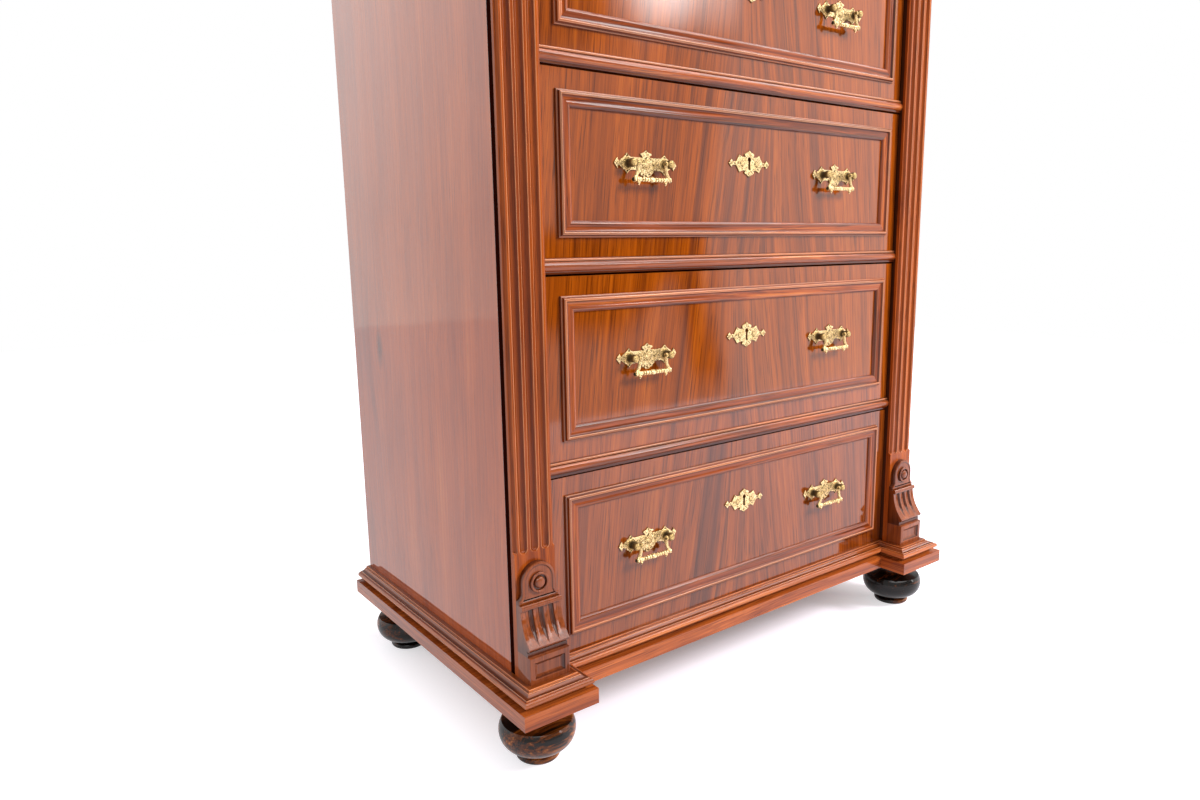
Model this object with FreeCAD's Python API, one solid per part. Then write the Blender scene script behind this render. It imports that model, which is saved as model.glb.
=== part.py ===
import FreeCAD, Part
import os
from FreeCAD import Vector

# Chest of drawers, in millimetres. +X is on the right for someone in front of it, +Y points to the
# back and +Z up. The origin is on the floor, under the middle of the whole chest.

# Overall body
body_width = 829.0
body_depth = 466.5
panel_thickness = 20.0
back_thickness = 10.0
top_thickness = 22.0
top_overhang = 24.5
top_rounding = 6.0

# Feet and plinth
foot_height = 78.0
foot_radius = 50.0
foot_base_radius = 26.0
foot_neck_radius = 24.0
foot_dowel_radius = 11.0
foot_dowel_length = 14.0
foot_side_inset = 54.0
foot_front_inset = 60.0
foot_back_inset = 80.0
base_thickness = 20.0
base_overhang = 25.5
plinth_moulding_height = 20.5
plinth_moulding_depth = 22.0
plinth_groove_height = 5.0
block_projection = 46.0

# Pilasters, which stand on both sides of the drawers
pilaster_width = 58.7
pilaster_projection = 17.5
pilaster_thickness = 8.5
flute_count = 3
flute_pitch = 16.0
flute_width = 11.0
flute_depth = 4.0
arris_flute_radius = 4.0
flute_stop_gap = 17.0
side_groove_depth = 5.0
post_depth = 30.0

# Corbels at the foot of the pilasters and capitals at their head
corbel_height = 147.0
corbel_block_height = 35.0
corbel_plate_projection = 8.0
corbel_bar_height = 6.5
corbel_bar_projection = 13.0
corbel_bar_drop = 50.5
corbel_lip_radius = 4.0
corbel_finger_count = 3
corbel_finger_radius = 5.5
corbel_finger_pitch = 17.0
sunk_panel_border = 8.0
sunk_panel_depth = 3.5
sunk_panel_slope = 4.0
boss_radius = 13.5
boss_ring_width = 3.5
boss_projection = 3.5
button_radius = 7.0
button_height = 5.0
capital_height = 54.0
capital_projection = 13.0
capital_bead_radius = 3.0

# Cornice under the top board
cornice_height = 34.0
cornice_depth = 20.0

# Drawers, from the lowest to the highest
drawer_front_heights = (239.0, 231.0, 220.0, 210.0, 198.0)
front_proud = 3.0
front_thickness = 22.0
front_side_clearance = 1.2
front_top_gap = 2.4
running_clearance = 0.3
fitting_clearance = 0.2
rail_height = 19.5
rail_depth = 70.0
top_rail_height = 40.0
rail_moulding_depth = 9.5
drawer_side_thickness = 12.0
drawer_back_thickness = 12.0
drawer_bottom_thickness = 6.0
drawer_bottom_rise = 10.0
drawer_bottom_groove = 5.0
drawer_side_drop = 12.0
drawer_back_gap = 12.0
runner_inward = 28.0
guide_height = 24.0
stop_height = 7.0
stop_length = 30.0
stop_depth = 12.0
stop_offset = 120.0

# Applied frame on each drawer front
frame_margin_side = 25.0
frame_margin_end = 24.0
frame_width = 20.5
frame_height = 7.5

# Brass pulls and keyhole plates
pull_offset = 191.0
pull_rise = 6.0
plate_thickness = 1.8
plate_half_length = 52.0
plate_half_height = 18.0
plate_relief_radius = 7.5
plate_relief_height = 1.2
plate_hole_radius = 1.1
post_spacing = 62.0
post_radius = 5.0
post_length = 18.0
post_head_radius = 5.2
post_rosette_radius = 8.0
pivot_stand = 13.5
pivot_pin_radius = 1.4
pivot_pin_length = 3.2
pivot_clearance = 0.1
bail_side_gap = 0.5
bail_eye_radius = 3.4
bail_eye_width = 4.0
bail_rod_radius = 1.9
bail_straight = 7.2
bail_bar_radius = 3.2
bail_bead_radius = 3.7
bail_neck_radius = 2.3
bead_slope = 1.0
bail_drop = 20.5
bail_splay = 6.5
bail_tip_length = 7.0
bail_tip_radius = 0.6
bail_tip_inset = 7.5
keyhole_drop = 89.0
keyhole_radius = 3.3
keyhole_slot_width = 3.4
keyhole_slot_length = 14.0
keyhole_rise = 6.0
escutcheon_half_length = 41.0
escutcheon_half_height = 18.5

# Drawer locks, let into the back of each front
lock_width = 64.0
lock_height = 108.0
lock_thickness = 9.0
bolt_width = 22.0
bolt_thickness = 5.0
bolt_length = 26.0
bolt_clearance = 0.3
bolt_travel = 9.0
bolt_retreat = 0.5
mortise_clearance = 1.5

# Places worked out from the sizes above
half_body = body_width / 2
base_half = half_body + base_overhang
whole_depth = body_depth + block_projection + base_overhang
front = whole_depth / 2 - body_depth
back = whole_depth / 2
opening_half = half_body - pilaster_width
pilaster_middle = half_body - pilaster_width / 2
panel_inside = half_body - panel_thickness
groove_rear = front
groove_front = front - pilaster_projection + pilaster_thickness
shaft_face = front - pilaster_projection
block_face = front - block_projection
base_bottom = foot_height
base_top = base_bottom + base_thickness
first_level = base_top + plinth_moulding_height
back_inside = back - back_thickness
front_face = front - front_proud
front_rear = front_face + front_thickness
front_half = opening_half - front_side_clearance


def drawer_levels():
    """Bottom and top of each drawer front, and of the rail above it, from the lowest drawer up."""
    levels = []
    level = first_level
    for number, height in enumerate(drawer_front_heights, 1):
        bottom = level + running_clearance
        top = bottom + height
        rail_bottom = top + front_top_gap
        last = number == len(drawer_front_heights)
        level = rail_bottom + (top_rail_height if last else rail_height)
        levels.append({"number": number, "bottom": bottom, "top": top, "rail": rail_bottom, "next": level})
    return levels


levels = drawer_levels()
body_top = levels[-1]["next"]
whole_height = body_top + top_thickness
cornice_bottom = body_top - cornice_height
corbel_top = first_level + corbel_height


def box(x0, x1, y0, y1, z0, z1):
    """An upright box between two corners."""
    return Part.makeBox(x1 - x0, y1 - y0, z1 - z0, Vector(x0, y0, z0))


def cylinder(radius, length, base, axis):
    return Part.makeCylinder(radius, length, base, axis)


def save(name, solids):
    """Writes one node: a single solid, or several that belong together."""
    solids = list(solids)
    shape = solids[0] if len(solids) == 1 else Part.makeCompound(solids)
    shape.exportStep("parts/" + name + ".step")


def mirrored(shape):
    """The same piece on the other side of the chest."""
    return shape.mirror(Vector(0, 0, 0), Vector(1, 0, 0))


def outline_face(steps, origin, across, up):
    """A flat face from a start point and then lines (u, h) or arcs ((u, h) on the way, (u, h) end)."""
    def place(point):
        return origin + across * point[0] + up * point[1]

    edges = []
    here = place(steps[0])
    for step in steps[1:] + [steps[0]]:
        if isinstance(step[0], tuple):
            there = place(step[1])
            edges.append(Part.Arc(here, place(step[0]), there).toShape())
        else:
            there = place(step)
            edges.append(Part.LineSegment(here, there).toShape())
        here = there
    return Part.Face(Part.Wire(edges))


def beyond(corner, along, reach):
    """A large block on the far side of the upright plane through a corner, square to a direction."""
    along = Vector(along).normalize()
    side = Vector(0, 0, 1).cross(along)
    deep = Vector(0, 0, 2 * reach)
    start = corner - side * reach - deep * 0.5
    face = Part.Face(Part.makePolygon([start, start + side * 2 * reach, start + side * 2 * reach + deep,
                                       start + deep, start]))
    return face.extrude(along * reach * 2)


def mitred_mouldings(corners, steps, depth, closed=False):
    """Lengths of one moulding along a path, mitred where they meet, with u to the right of the path."""
    pairs = list(zip(corners, corners[1:] + corners[:1]))
    if not closed:
        pairs = pairs[:-1]
    ways = [Vector(b - a).normalize() for a, b in pairs]
    reach = 2 * depth
    lengths = []
    for place, (start, end) in enumerate(pairs):
        way = ways[place]
        across = Vector(way.y, -way.x, 0)
        mitre_start = closed or place > 0
        mitre_end = closed or place < len(pairs) - 1
        run_out = way * reach
        origin = start - run_out if mitre_start else start
        finish = end + run_out if mitre_end else end
        piece = outline_face(steps, origin, across, Vector(0, 0, 1)).extrude(finish - origin)
        size = (finish - origin).Length + 3 * reach
        if mitre_start:
            piece = piece.cut(beyond(start, -(ways[place - 1] + way), size))
        if mitre_end:
            piece = piece.cut(beyond(end, way + ways[(place + 1) % len(ways)], size))
        lengths.extend(piece.Solids)
    return lengths


def breakfront_path(projection):
    """The plan line of the body from its back left corner round to its back right corner."""
    side, inner, near = half_body, opening_half, front - projection
    points = [(-side, back), (-side, near), (-inner, near), (-inner, front),
              (inner, front), (inner, near), (side, near), (side, back)]
    return [Vector(x, y, 0) for x, y in points]


def breakfront_board(projection, overhang, z0, z1):
    """A board that follows the breakfront plan and overhangs it on every side but the back."""
    side, inner, near = half_body + overhang, opening_half - overhang, front - projection - overhang
    middle = front - overhang
    points = [(-side, back), (-side, near), (-inner, near), (-inner, middle),
              (inner, middle), (inner, near), (side, near), (side, back), (-side, back)]
    face = Part.Face(Part.makePolygon([Vector(x, y, z0) for x, y in points]))
    return face.extrude(Vector(0, 0, z1 - z0))


def base_board():
    """The moulded base: a board with the plain fascia edge, bored for the dowels of the feet."""
    board = breakfront_board(block_projection, base_overhang, base_bottom, base_top)
    for x, y in foot_places():
        board = board.cut(cylinder(foot_dowel_radius + fitting_clearance, foot_dowel_length + 1,
                                   Vector(x, y, base_bottom), Vector(0, 0, 1)))
    return board


def plinth_mouldings():
    """The moulding on the base board: a deep groove over the fascia, a nose, a cove and a top fillet."""
    depth, height = plinth_moulding_depth, plinth_moulding_height
    nose, cove = plinth_groove_height + 3.5, plinth_groove_height + 7
    steps = [(0, 0), (depth - 9, 0), (depth - 9, plinth_groove_height), (depth - 2.5, plinth_groove_height),
             ((depth, nose), (depth - 3, cove)), (depth - 5, cove + 0.6),
             ((10.5, cove + 1.6), (8.6, height - 3.5)), (6.4, height - 3.5), (6.4, height), (0, height)]
    pieces = mitred_mouldings(breakfront_path(block_projection), steps, depth)
    return [piece.translate(Vector(0, 0, base_top)) for piece in pieces]


def foot_places():
    x = base_half - foot_side_inset
    near = block_face - base_overhang + foot_front_inset
    far = back - foot_back_inset
    return [(-x, near), (x, near), (-x, far), (x, far)]


def foot(x, y):
    """A turned bun foot: a collared neck on a flat-topped bun, a quirk and a smaller base, with its dowel."""
    height, bulge, low, neck = foot_height, foot_radius, foot_base_radius, foot_neck_radius
    belly, rim = 0.46 * height, 0.67 * height
    steps = [(0, 0), (low, 0), ((low + 3, 4), (low + 1, 8)), (low - 2, 11), (low + 4, 13),
             ((bulge - 5, belly - 13), (bulge, belly)), ((bulge - 0.4, rim - 8), (bulge - 4, rim)),
             (neck + 4, rim + 4), ((neck, rim + 10), (neck + 1, height - 9)),
             ((neck + 5, height - 6), (neck + 2, height - 3)), (neck + 2, height),
             (foot_dowel_radius, height), (foot_dowel_radius, height + foot_dowel_length),
             (0, height + foot_dowel_length)]
    face = outline_face(steps, Vector(x, y, 0), Vector(1, 0, 0), Vector(0, 0, 1))
    return face.revolve(Vector(x, y, 0), Vector(0, 0, 1), 360)


def side_panels():
    """The two sides, rebated at the back for the back boards."""
    panel = box(panel_inside, half_body, front, back, base_top, body_top)
    panel = panel.cut(box(panel_inside - 1, panel_inside + panel_thickness / 2, back_inside, back + 1,
                          base_top - 1, body_top + 1))
    return [mirrored(panel), panel]


def back_boards():
    """Three upright boards that fill the rebates of the sides."""
    reach = panel_inside + panel_thickness / 2
    width = 2 * reach / 3
    return [box(-reach + width * place, -reach + width * (place + 1), back_inside, back, base_top, body_top)
            for place in range(3)]


def front_posts():
    """The posts behind the pilasters; their front part leaves the groove beside the side panel."""
    inner, outer = opening_half, half_body - side_groove_depth
    post = box(inner, outer, groove_front, groove_rear, base_top, body_top)
    post = post.fuse(box(inner, panel_inside, groove_rear, front + post_depth, base_top, body_top))
    post = post.removeSplitter()
    return [mirrored(post), post]


def pilasters():
    """Fluted strips with round-ended flutes between plain stops, and a small hollow on each arris."""
    z_low, z_high = corbel_top + flute_stop_gap, cornice_bottom - capital_height - flute_stop_gap
    strip = box(opening_half, half_body, shaft_face, groove_front, base_top, cornice_bottom)
    radius = (flute_width ** 2 / 4 + flute_depth ** 2) / (2 * flute_depth)
    centre_y = shaft_face - radius + flute_depth
    first = pilaster_middle - flute_pitch * (flute_count - 1) / 2
    hollows = [(first + flute_pitch * place, centre_y, radius) for place in range(flute_count)]
    hollows += [(x, shaft_face, arris_flute_radius) for x in (opening_half, half_body)]
    for x, y, size in hollows:
        bore = cylinder(size, z_high - z_low, Vector(x, y, z_low), Vector(0, 0, 1))
        for z in (z_low, z_high):
            bore = bore.fuse(Part.makeSphere(size, Vector(x, y, z)))
        strip = strip.cut(bore)
    return [mirrored(strip), strip]


def boss(x, face, z):
    """A roundel: a raised ring round a domed button, standing on a face that looks forward."""
    ahead = Vector(0, -1, 0)
    base = Vector(x, face, z)
    ring = cylinder(boss_radius, boss_projection, base, ahead)
    ring = ring.cut(cylinder(boss_radius - boss_ring_width, boss_projection, base + ahead, ahead))
    sphere = (button_radius ** 2 + button_height ** 2) / (2 * button_height)
    dome = Part.makeSphere(sphere, base - ahead * (sphere - button_height))
    dome = dome.common(cylinder(button_radius + 1, button_height + 1, base, ahead))
    return ring.fuse(dome)


def sunk_panel(x0, x1, z0, z1, face):
    """The tool that sinks a bevelled rectangular panel into a face that looks forward."""
    def ring(grow, y):
        points = [(x0 - grow, z0 - grow), (x1 + grow, z0 - grow),
                  (x1 + grow, z1 + grow), (x0 - grow, z1 + grow)]
        corners = [Vector(x, y, z) for x, z in points]
        return Part.makePolygon(corners + corners[:1])

    slope = sunk_panel_slope / sunk_panel_depth
    rings = [ring(slope, face - 1), ring(-sunk_panel_slope, face + sunk_panel_depth)]
    return Part.makeLoft(rings, True, True)


def corbel():
    """The carved bracket on a pilaster's foot: arched plate, bar, fingered scroll, lip and sunk block."""
    x0, x1 = opening_half, half_body
    half = pilaster_width / 2
    bar_top = corbel_top - corbel_bar_drop
    bar_bottom = bar_top - corbel_bar_height
    block_top = first_level + corbel_block_height
    plate_face = shaft_face - corbel_plate_projection
    arch_centre = corbel_top - half
    plate = box(x0, x1, plate_face, shaft_face, bar_top, arch_centre)
    arch = cylinder(half, corbel_plate_projection, Vector(pilaster_middle, shaft_face, arch_centre),
                    Vector(0, -1, 0))
    solid = plate.fuse(arch)
    solid = solid.fuse(box(x0, x1, shaft_face - corbel_bar_projection, shaft_face, bar_bottom, bar_top))
    depth = block_projection - pilaster_projection
    lip_z = block_top + 3 * corbel_lip_radius
    near, far = corbel_plate_projection + 1, depth - corbel_lip_radius / 2
    sag = 0.55
    middle = (near + (far - near) * (1 - sag) * 0.6, (bar_bottom + lip_z) / 2)
    steps = [(0, block_top), (far - 3, block_top), (far - 3, block_top + corbel_lip_radius),
             ((far + corbel_lip_radius / 2, lip_z - corbel_lip_radius), (far, lip_z)),
             (middle, (near, bar_bottom)), (0, bar_bottom)]
    face = outline_face(steps, Vector(x0, shaft_face, 0), Vector(0, -1, 0), Vector(0, 0, 1))
    solid = solid.fuse(face.extrude(Vector(x1 - x0, 0, 0)))
    arc = Part.Arc(Vector(near, bar_bottom, 0), Vector(middle[0], middle[1], 0), Vector(far, lip_z, 0))
    curve = arc.toShape().Curve
    centre = Vector(0, shaft_face - curve.Center.x, curve.Center.y)
    first = pilaster_middle - corbel_finger_pitch * (corbel_finger_count - 1) / 2
    for place in range(corbel_finger_count):
        at = Vector(first + corbel_finger_pitch * place, centre.y, centre.z)
        solid = solid.cut(Part.makeTorus(curve.Radius, corbel_finger_radius, at, Vector(1, 0, 0)).common(
            box(x0, x1, block_face - 20, shaft_face - 1, lip_z - corbel_lip_radius, bar_bottom - 2)))
    block = box(x0, x1, block_face, shaft_face, base_top, block_top)
    border = sunk_panel_border
    block = block.cut(sunk_panel(x0 + border, x1 - border, first_level + border, block_top - border,
                                 block_face))
    solid = solid.fuse(block)
    solid = solid.fuse(boss(pilaster_middle, plate_face, arch_centre - 2))
    return solid.removeSplitter()


def corbels():
    piece = corbel()
    return [mirrored(piece), piece]


def capitals():
    """The plain block under the cornice at the head of each pilaster, with a bead and a roundel."""
    bottom, top = cornice_bottom - capital_height, body_top
    face = shaft_face - capital_projection
    block = box(opening_half, half_body, face, shaft_face, bottom, cornice_bottom)
    core = box(opening_half, half_body, face, groove_front, cornice_bottom, top)
    bead = cylinder(capital_bead_radius, pilaster_width,
                    Vector(opening_half, face, bottom + capital_bead_radius), Vector(1, 0, 0))
    roundel = boss(pilaster_middle, face, bottom + capital_height / 2 + capital_bead_radius)
    piece = block.fuse(core).fuse(bead).fuse(roundel).removeSplitter()
    return [mirrored(piece), piece]


def cornice_mouldings():
    """The cove moulding round the top of the body, stepping forward over the capitals."""
    depth, height = cornice_depth, cornice_height
    steps = [(0, 0), (3, 0), ((5.5, 2.5), (3, 5)), (5, 7), ((8, 20), (depth - 2, height - 9)),
             (depth, height - 9), (depth, height), (0, height)]
    projection = pilaster_projection + capital_projection
    pieces = mitred_mouldings(breakfront_path(projection), steps, depth)
    return [piece.translate(Vector(0, 0, cornice_bottom)) for piece in pieces]


def top_board():
    """The top, which follows the cornice and has a rounded edge."""
    projection = pilaster_projection + capital_projection
    board = breakfront_board(projection, top_overhang, body_top, whole_height)
    edges = [edge for edge in board.Edges
             if edge.BoundBox.ZLength < 0.01 and edge.BoundBox.YMin < back - 1]
    return board.makeFillet(top_rounding, edges)


def bolt_mortise(rail_bottom):
    """The slot in a rail that the bolt of the drawer below enters."""
    half = bolt_width / 2 + mortise_clearance
    middle = front_rear - lock_thickness / 2
    reach = bolt_thickness / 2 + mortise_clearance
    depth = bolt_travel - bolt_retreat - front_top_gap + mortise_clearance
    return box(-half, half, middle - reach, middle + reach, rail_bottom - 1, rail_bottom + depth)


def drawer_rails():
    """The rails between the drawers, with the slots for the bolts."""
    rails = [box(-opening_half, opening_half, front, front + rail_depth, base_top, first_level)]
    for level in levels:
        rail = box(-opening_half, opening_half, front, front + rail_depth, level["rail"], level["next"])
        rails.append(rail.cut(bolt_mortise(level["rail"])))
    return rails


def rail_mouldings():
    """The half-round moulding on each rail: a step, the nose and a bead at the top."""
    depth, height = rail_moulding_depth, rail_height
    steps = [(0, 0), (depth - 4, 0), (depth - 4, 3), (depth - 3, 4), ((depth, 9.5), (depth - 3, 15)),
             (depth - 5, 15), ((depth - 3.5, height - 2), (depth - 6, height)), (0, height)]
    pieces = []
    for level in levels[:-1]:
        face = outline_face(steps, Vector(-opening_half, front, level["rail"]), Vector(0, -1, 0),
                            Vector(0, 0, 1))
        pieces.append(face.extrude(Vector(2 * opening_half, 0, 0)))
    return pieces


def runner_bottoms():
    return [base_top] + [level["rail"] for level in levels[:-1]]


def runner_tops():
    return [first_level] + [level["next"] for level in levels[:-1]]


def runners():
    """Two runners for each drawer, each with the guide that keeps the drawer straight."""
    pieces = []
    for low, high in zip(runner_bottoms(), runner_tops()):
        lower = box(opening_half - runner_inward, panel_inside, front + rail_depth, back_inside, low, high)
        guide = box(opening_half, panel_inside, front + rail_depth, back_inside, high, high + guide_height)
        piece = lower.fuse(guide).removeSplitter()
        pieces += [mirrored(piece), piece]
    return pieces


def drawer_stops():
    """Small blocks glued to each rail, which stop the drawer front when it is shut."""
    start = front_rear + running_clearance
    return [box(side * stop_offset - stop_length / 2, side * stop_offset + stop_length / 2, start,
                start + stop_depth, high, high + stop_height)
            for high in runner_tops() for side in (-1, 1)]


def keyhole(y0, y1, z):
    """A keyhole through something: a round head over a slot."""
    head = cylinder(keyhole_radius, y1 - y0, Vector(0, y0, z), Vector(0, 1, 0))
    return head.fuse(box(-keyhole_slot_width / 2, keyhole_slot_width / 2, y0, y1, z - keyhole_slot_length, z))


def drawer_front(level):
    """The veneered front, grooved for the bottom and recessed at the back for the lock."""
    low, high = level["bottom"], level["top"]
    board = box(-front_half, front_half, front_face, front_rear, low, high)
    half = lock_width / 2 + fitting_clearance
    recess = box(-half, half, front_rear - lock_thickness - fitting_clearance, front_rear + 1,
                 high - lock_height - fitting_clearance, high + 1)
    groove = box(-front_half + drawer_side_thickness, front_half - drawer_side_thickness,
                 front_rear - drawer_bottom_groove, front_rear + 1,
                 low + drawer_bottom_rise, low + drawer_bottom_rise + drawer_bottom_thickness)
    return board.cut(recess).cut(groove).cut(keyhole(front_face - 1, front_rear, high - keyhole_drop))


def drawer_frame(level):
    """The applied frame: four mitred lengths of a stepped and beaded moulding."""
    width, height = frame_width, frame_height
    steps = [(0, 0), (0, 2), ((0.6, 3.2), (1.8, 3.6)), (2.6, height - 2.3),
             ((4.8, height), (7, height - 1.9)), (7.6, height - 3.1),
             ((11, height - 3.6), (width - 5.9, height - 3.1)),
             ((width - 2.1, 3.7), (width, 0.8)), (width, 0)]
    half_x = front_half - frame_margin_side
    half_z = (level["top"] - level["bottom"]) / 2 - frame_margin_end
    corners = [Vector(-half_x, -half_z, 0), Vector(-half_x, half_z, 0), Vector(half_x, half_z, 0),
               Vector(half_x, -half_z, 0)]
    pieces = mitred_mouldings(corners, steps, width, closed=True)
    middle = Vector(0, front_face, (level["bottom"] + level["top"]) / 2)
    for piece in pieces:
        piece.rotate(Vector(0, 0, 0), Vector(1, 0, 0), 90)
        piece.translate(middle)
    return pieces


def drawer_box_back():
    return back_inside - drawer_back_gap


def drawer_box(level):
    """The two sides and the back of a drawer, grooved for its bottom."""
    low, high = level["bottom"], level["top"] - drawer_side_drop
    rear = drawer_box_back()
    bottom = low + drawer_bottom_rise
    inner = front_half - drawer_side_thickness
    side = box(inner, front_half, front_rear, rear, low, high)
    side = side.cut(box(0, inner + drawer_bottom_groove, front_rear - 1, rear + 1,
                        bottom, bottom + drawer_bottom_thickness))
    board = box(-inner, inner, rear - drawer_back_thickness, rear, bottom + drawer_bottom_thickness, high)
    return [mirrored(side), side, board]


def drawer_bottom(level):
    """The thin bottom, which slides in from the back."""
    inner = front_half - drawer_side_thickness
    reach = inner + drawer_bottom_groove
    low = level["bottom"] + drawer_bottom_rise
    high = low + drawer_bottom_thickness
    sheet = box(-reach, reach, front_rear, drawer_box_back(), low, high)
    tongue = box(-inner, inner, front_rear - drawer_bottom_groove, front_rear, low, high)
    return sheet.fuse(tongue).removeSplitter()


def lock_case(level):
    """The lock: a case let in flush with the back of the front, with the bolt's channel."""
    high = level["top"]
    rear = front_rear
    case = box(-lock_width / 2, lock_width / 2, rear - lock_thickness, rear, high - lock_height, high)
    half = bolt_width / 2 + bolt_clearance
    reach = bolt_thickness / 2 + bolt_clearance
    middle = rear - lock_thickness / 2
    floor = high - bolt_retreat - bolt_length - bolt_clearance
    return case.cut(box(-half, half, middle - reach, middle + reach, floor, high + 1))


def lock_bolt(level):
    """The bolt, drawn back so that the drawer is free."""
    middle = front_rear - lock_thickness / 2
    high = level["top"] - bolt_retreat
    return box(-bolt_width / 2, bolt_width / 2, middle - bolt_thickness / 2, middle + bolt_thickness / 2,
               high - bolt_length, high)


def flat_plate(points, thickness=plate_thickness):
    """A flat piece of brass from an outline in X and Z, its back on the plane of the drawer front."""
    corners = [Vector(x, 0, z) for x, z in points]
    return Part.Face(Part.makePolygon(corners + corners[:1])).extrude(Vector(0, -thickness, 0))


def disc(x, z, radius, thickness=plate_thickness):
    return cylinder(radius, thickness, Vector(x, 0, z), Vector(0, -1, 0))


def chased_plate(right_half, holes, half_length, half_height):
    """A pierced plate from the right half of its outline, from the top middle round to the bottom middle.
    The outline's places are shares of the plate's half length and half height."""
    points = [(x * half_length, z * half_height) for x, z in right_half]
    plate = flat_plate(points + [(-x, z) for x, z in points[-2:0:-1]])
    for x, z in holes:
        for side in (-1, 1):
            place = (side * x * half_length, z * half_height)
            plate = plate.cut(disc(*place, plate_hole_radius, 2 * plate_thickness))
    return plate


def pull_post(x):
    """A turned post that carries one end of the bail: a rosette, a stem and a round head."""
    ahead = Vector(0, -1, 0)
    rosette = disc(x, 0, post_rosette_radius, plate_thickness + 1.2)
    stem = cylinder(post_radius, post_length - 2, Vector(x, 0, 0), ahead)
    head = cylinder(post_head_radius, post_length - pivot_stand + post_radius,
                    Vector(x, -pivot_stand + post_radius, 0), ahead)
    bore = cylinder(pivot_pin_radius + pivot_clearance, 2 * post_head_radius + 2,
                    Vector(x - post_head_radius - 1, -pivot_stand, 0), Vector(1, 0, 0))
    return rosette.fuse(stem).fuse(head).cut(bore)


def pull_plate():
    """A chased plate with a crowned shield in the middle, peaked wings, arrow ends and the two posts."""
    crown = [(0, 0.97), (0.05, 0.84), (0.10, 0.77), (0.17, 0.73), (0.18, 0.63), (0.12, 0.53), (0.13, 0.44)]
    wing = [(0.48, 0.44), (0.54, 0.54), (0.60, 0.71), (0.65, 0.54), (0.73, 0.37), (0.82, 0.21)]
    arrow = [(0.84, 0.13), (0.87, 0.14), (0.90, 0.38), (0.95, 0.20), (1, 0), (0.95, -0.20), (0.90, -0.38),
             (0.87, -0.14), (0.84, -0.13)]
    shield = [(0.24, -0.44), (0.24, -0.59), (0.18, -0.67), (0.17, -0.81), (0.10, -0.83), (0.07, -0.94),
              (0, -1)]
    outline = crown + wing + arrow + [(x, -z) for x, z in reversed(wing)] + shield
    holes = [(0.60, 0.52), (0.60, -0.52), (0, 0.80), (0.09, -0.72), (0, -0.86)]
    plate = chased_plate(outline, holes, plate_half_length, plate_half_height)
    plate = plate.fuse(disc(0, 0, plate_relief_radius, plate_thickness + plate_relief_height))
    for x in (-post_spacing / 2, post_spacing / 2):
        plate = plate.fuse(pull_post(x))
    return plate.removeSplitter()


def escutcheon():
    """The keyhole plate: cusped corners, three-leaved points above and below, and pierced arrow ends."""
    quarter = [(0, 1), (0.08, 0.86), (0.16, 0.80), (0.23, 0.72), (0.23, 0.59), (0.18, 0.51), (0.31, 0.50),
               (0.41, 0.55), (0.49, 0.65), (0.52, 0.51), (0.60, 0.27), (0.64, 0.14), (0.72, 0.14),
               (0.81, 0.12), (0.86, 0.30), (0.93, 0.16), (1, 0)]
    outline = quarter + [(x, -z) for x, z in reversed(quarter[:-1])]
    plate = chased_plate(outline, [(0.71, 0)], escutcheon_half_length, escutcheon_half_height)
    return plate.cut(keyhole(-2 * plate_thickness, 1, keyhole_rise))


def drawer_plates(level):
    """The brasses that are fixed to a drawer: two pull plates with posts and the keyhole plate."""
    pieces = []
    for side in (-1, 1):
        pieces.append(pull_plate().translate(Vector(side * pull_offset, front_face, pull_height(level))))
    pieces.append(escutcheon().translate(Vector(0, front_face, level["top"] - keyhole_drop - keyhole_rise)))
    return pieces


def pull_height(level):
    return (level["bottom"] + level["top"]) / 2 + pull_rise


def both_sides(shape):
    return shape.fuse(mirrored(shape))


def bead(middle, radius):
    """Points, as distances along the bar and radii, of one raised ring on the bail's turned bar."""
    half = radius / 2
    neck = bail_neck_radius
    return [(middle + half + bead_slope, neck), (middle + half, radius),
            (middle - half, radius), (middle - half - bead_slope, neck)]


def turned_bar(corner_x, tip_x):
    """The bar of a bail about the X axis: pointed ends, a knob at each corner and beads between them."""
    half = [(corner_x + bail_bar_radius, 0)] + bead(corner_x, bail_bar_radius)[1:]
    half += bead(tip_x, bail_bead_radius) + bead(0, bail_bead_radius)[:2]
    chain = half + [(-x, radius) for x, radius in reversed(half)]
    points = [Vector(x, 0, radius) for x, radius in chain]
    outline = Part.Face(Part.makePolygon(points + points[:1]))
    return outline.revolve(Vector(), Vector(1, 0, 0), 360)


def bail_arm(start, bend, corner):
    """An arm of round rod that drops straight and then curves outwards to the corner."""
    across, down = corner.x - bend.x, bend.z - corner.z
    radius = (across ** 2 + down ** 2) / (2 * across)
    centre = bend + Vector(radius, 0, 0)
    halfway = ((bend - centre) + (corner - centre)).normalize() * radius + centre
    path = Part.Wire([Part.makeLine(start, bend), Part.Arc(bend, halfway, corner).toShape()])
    section = Part.Wire([Part.makeCircle(bail_rod_radius, start, Vector(0, 0, 1))])
    return path.makePipeShell([section], True, False)


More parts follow.
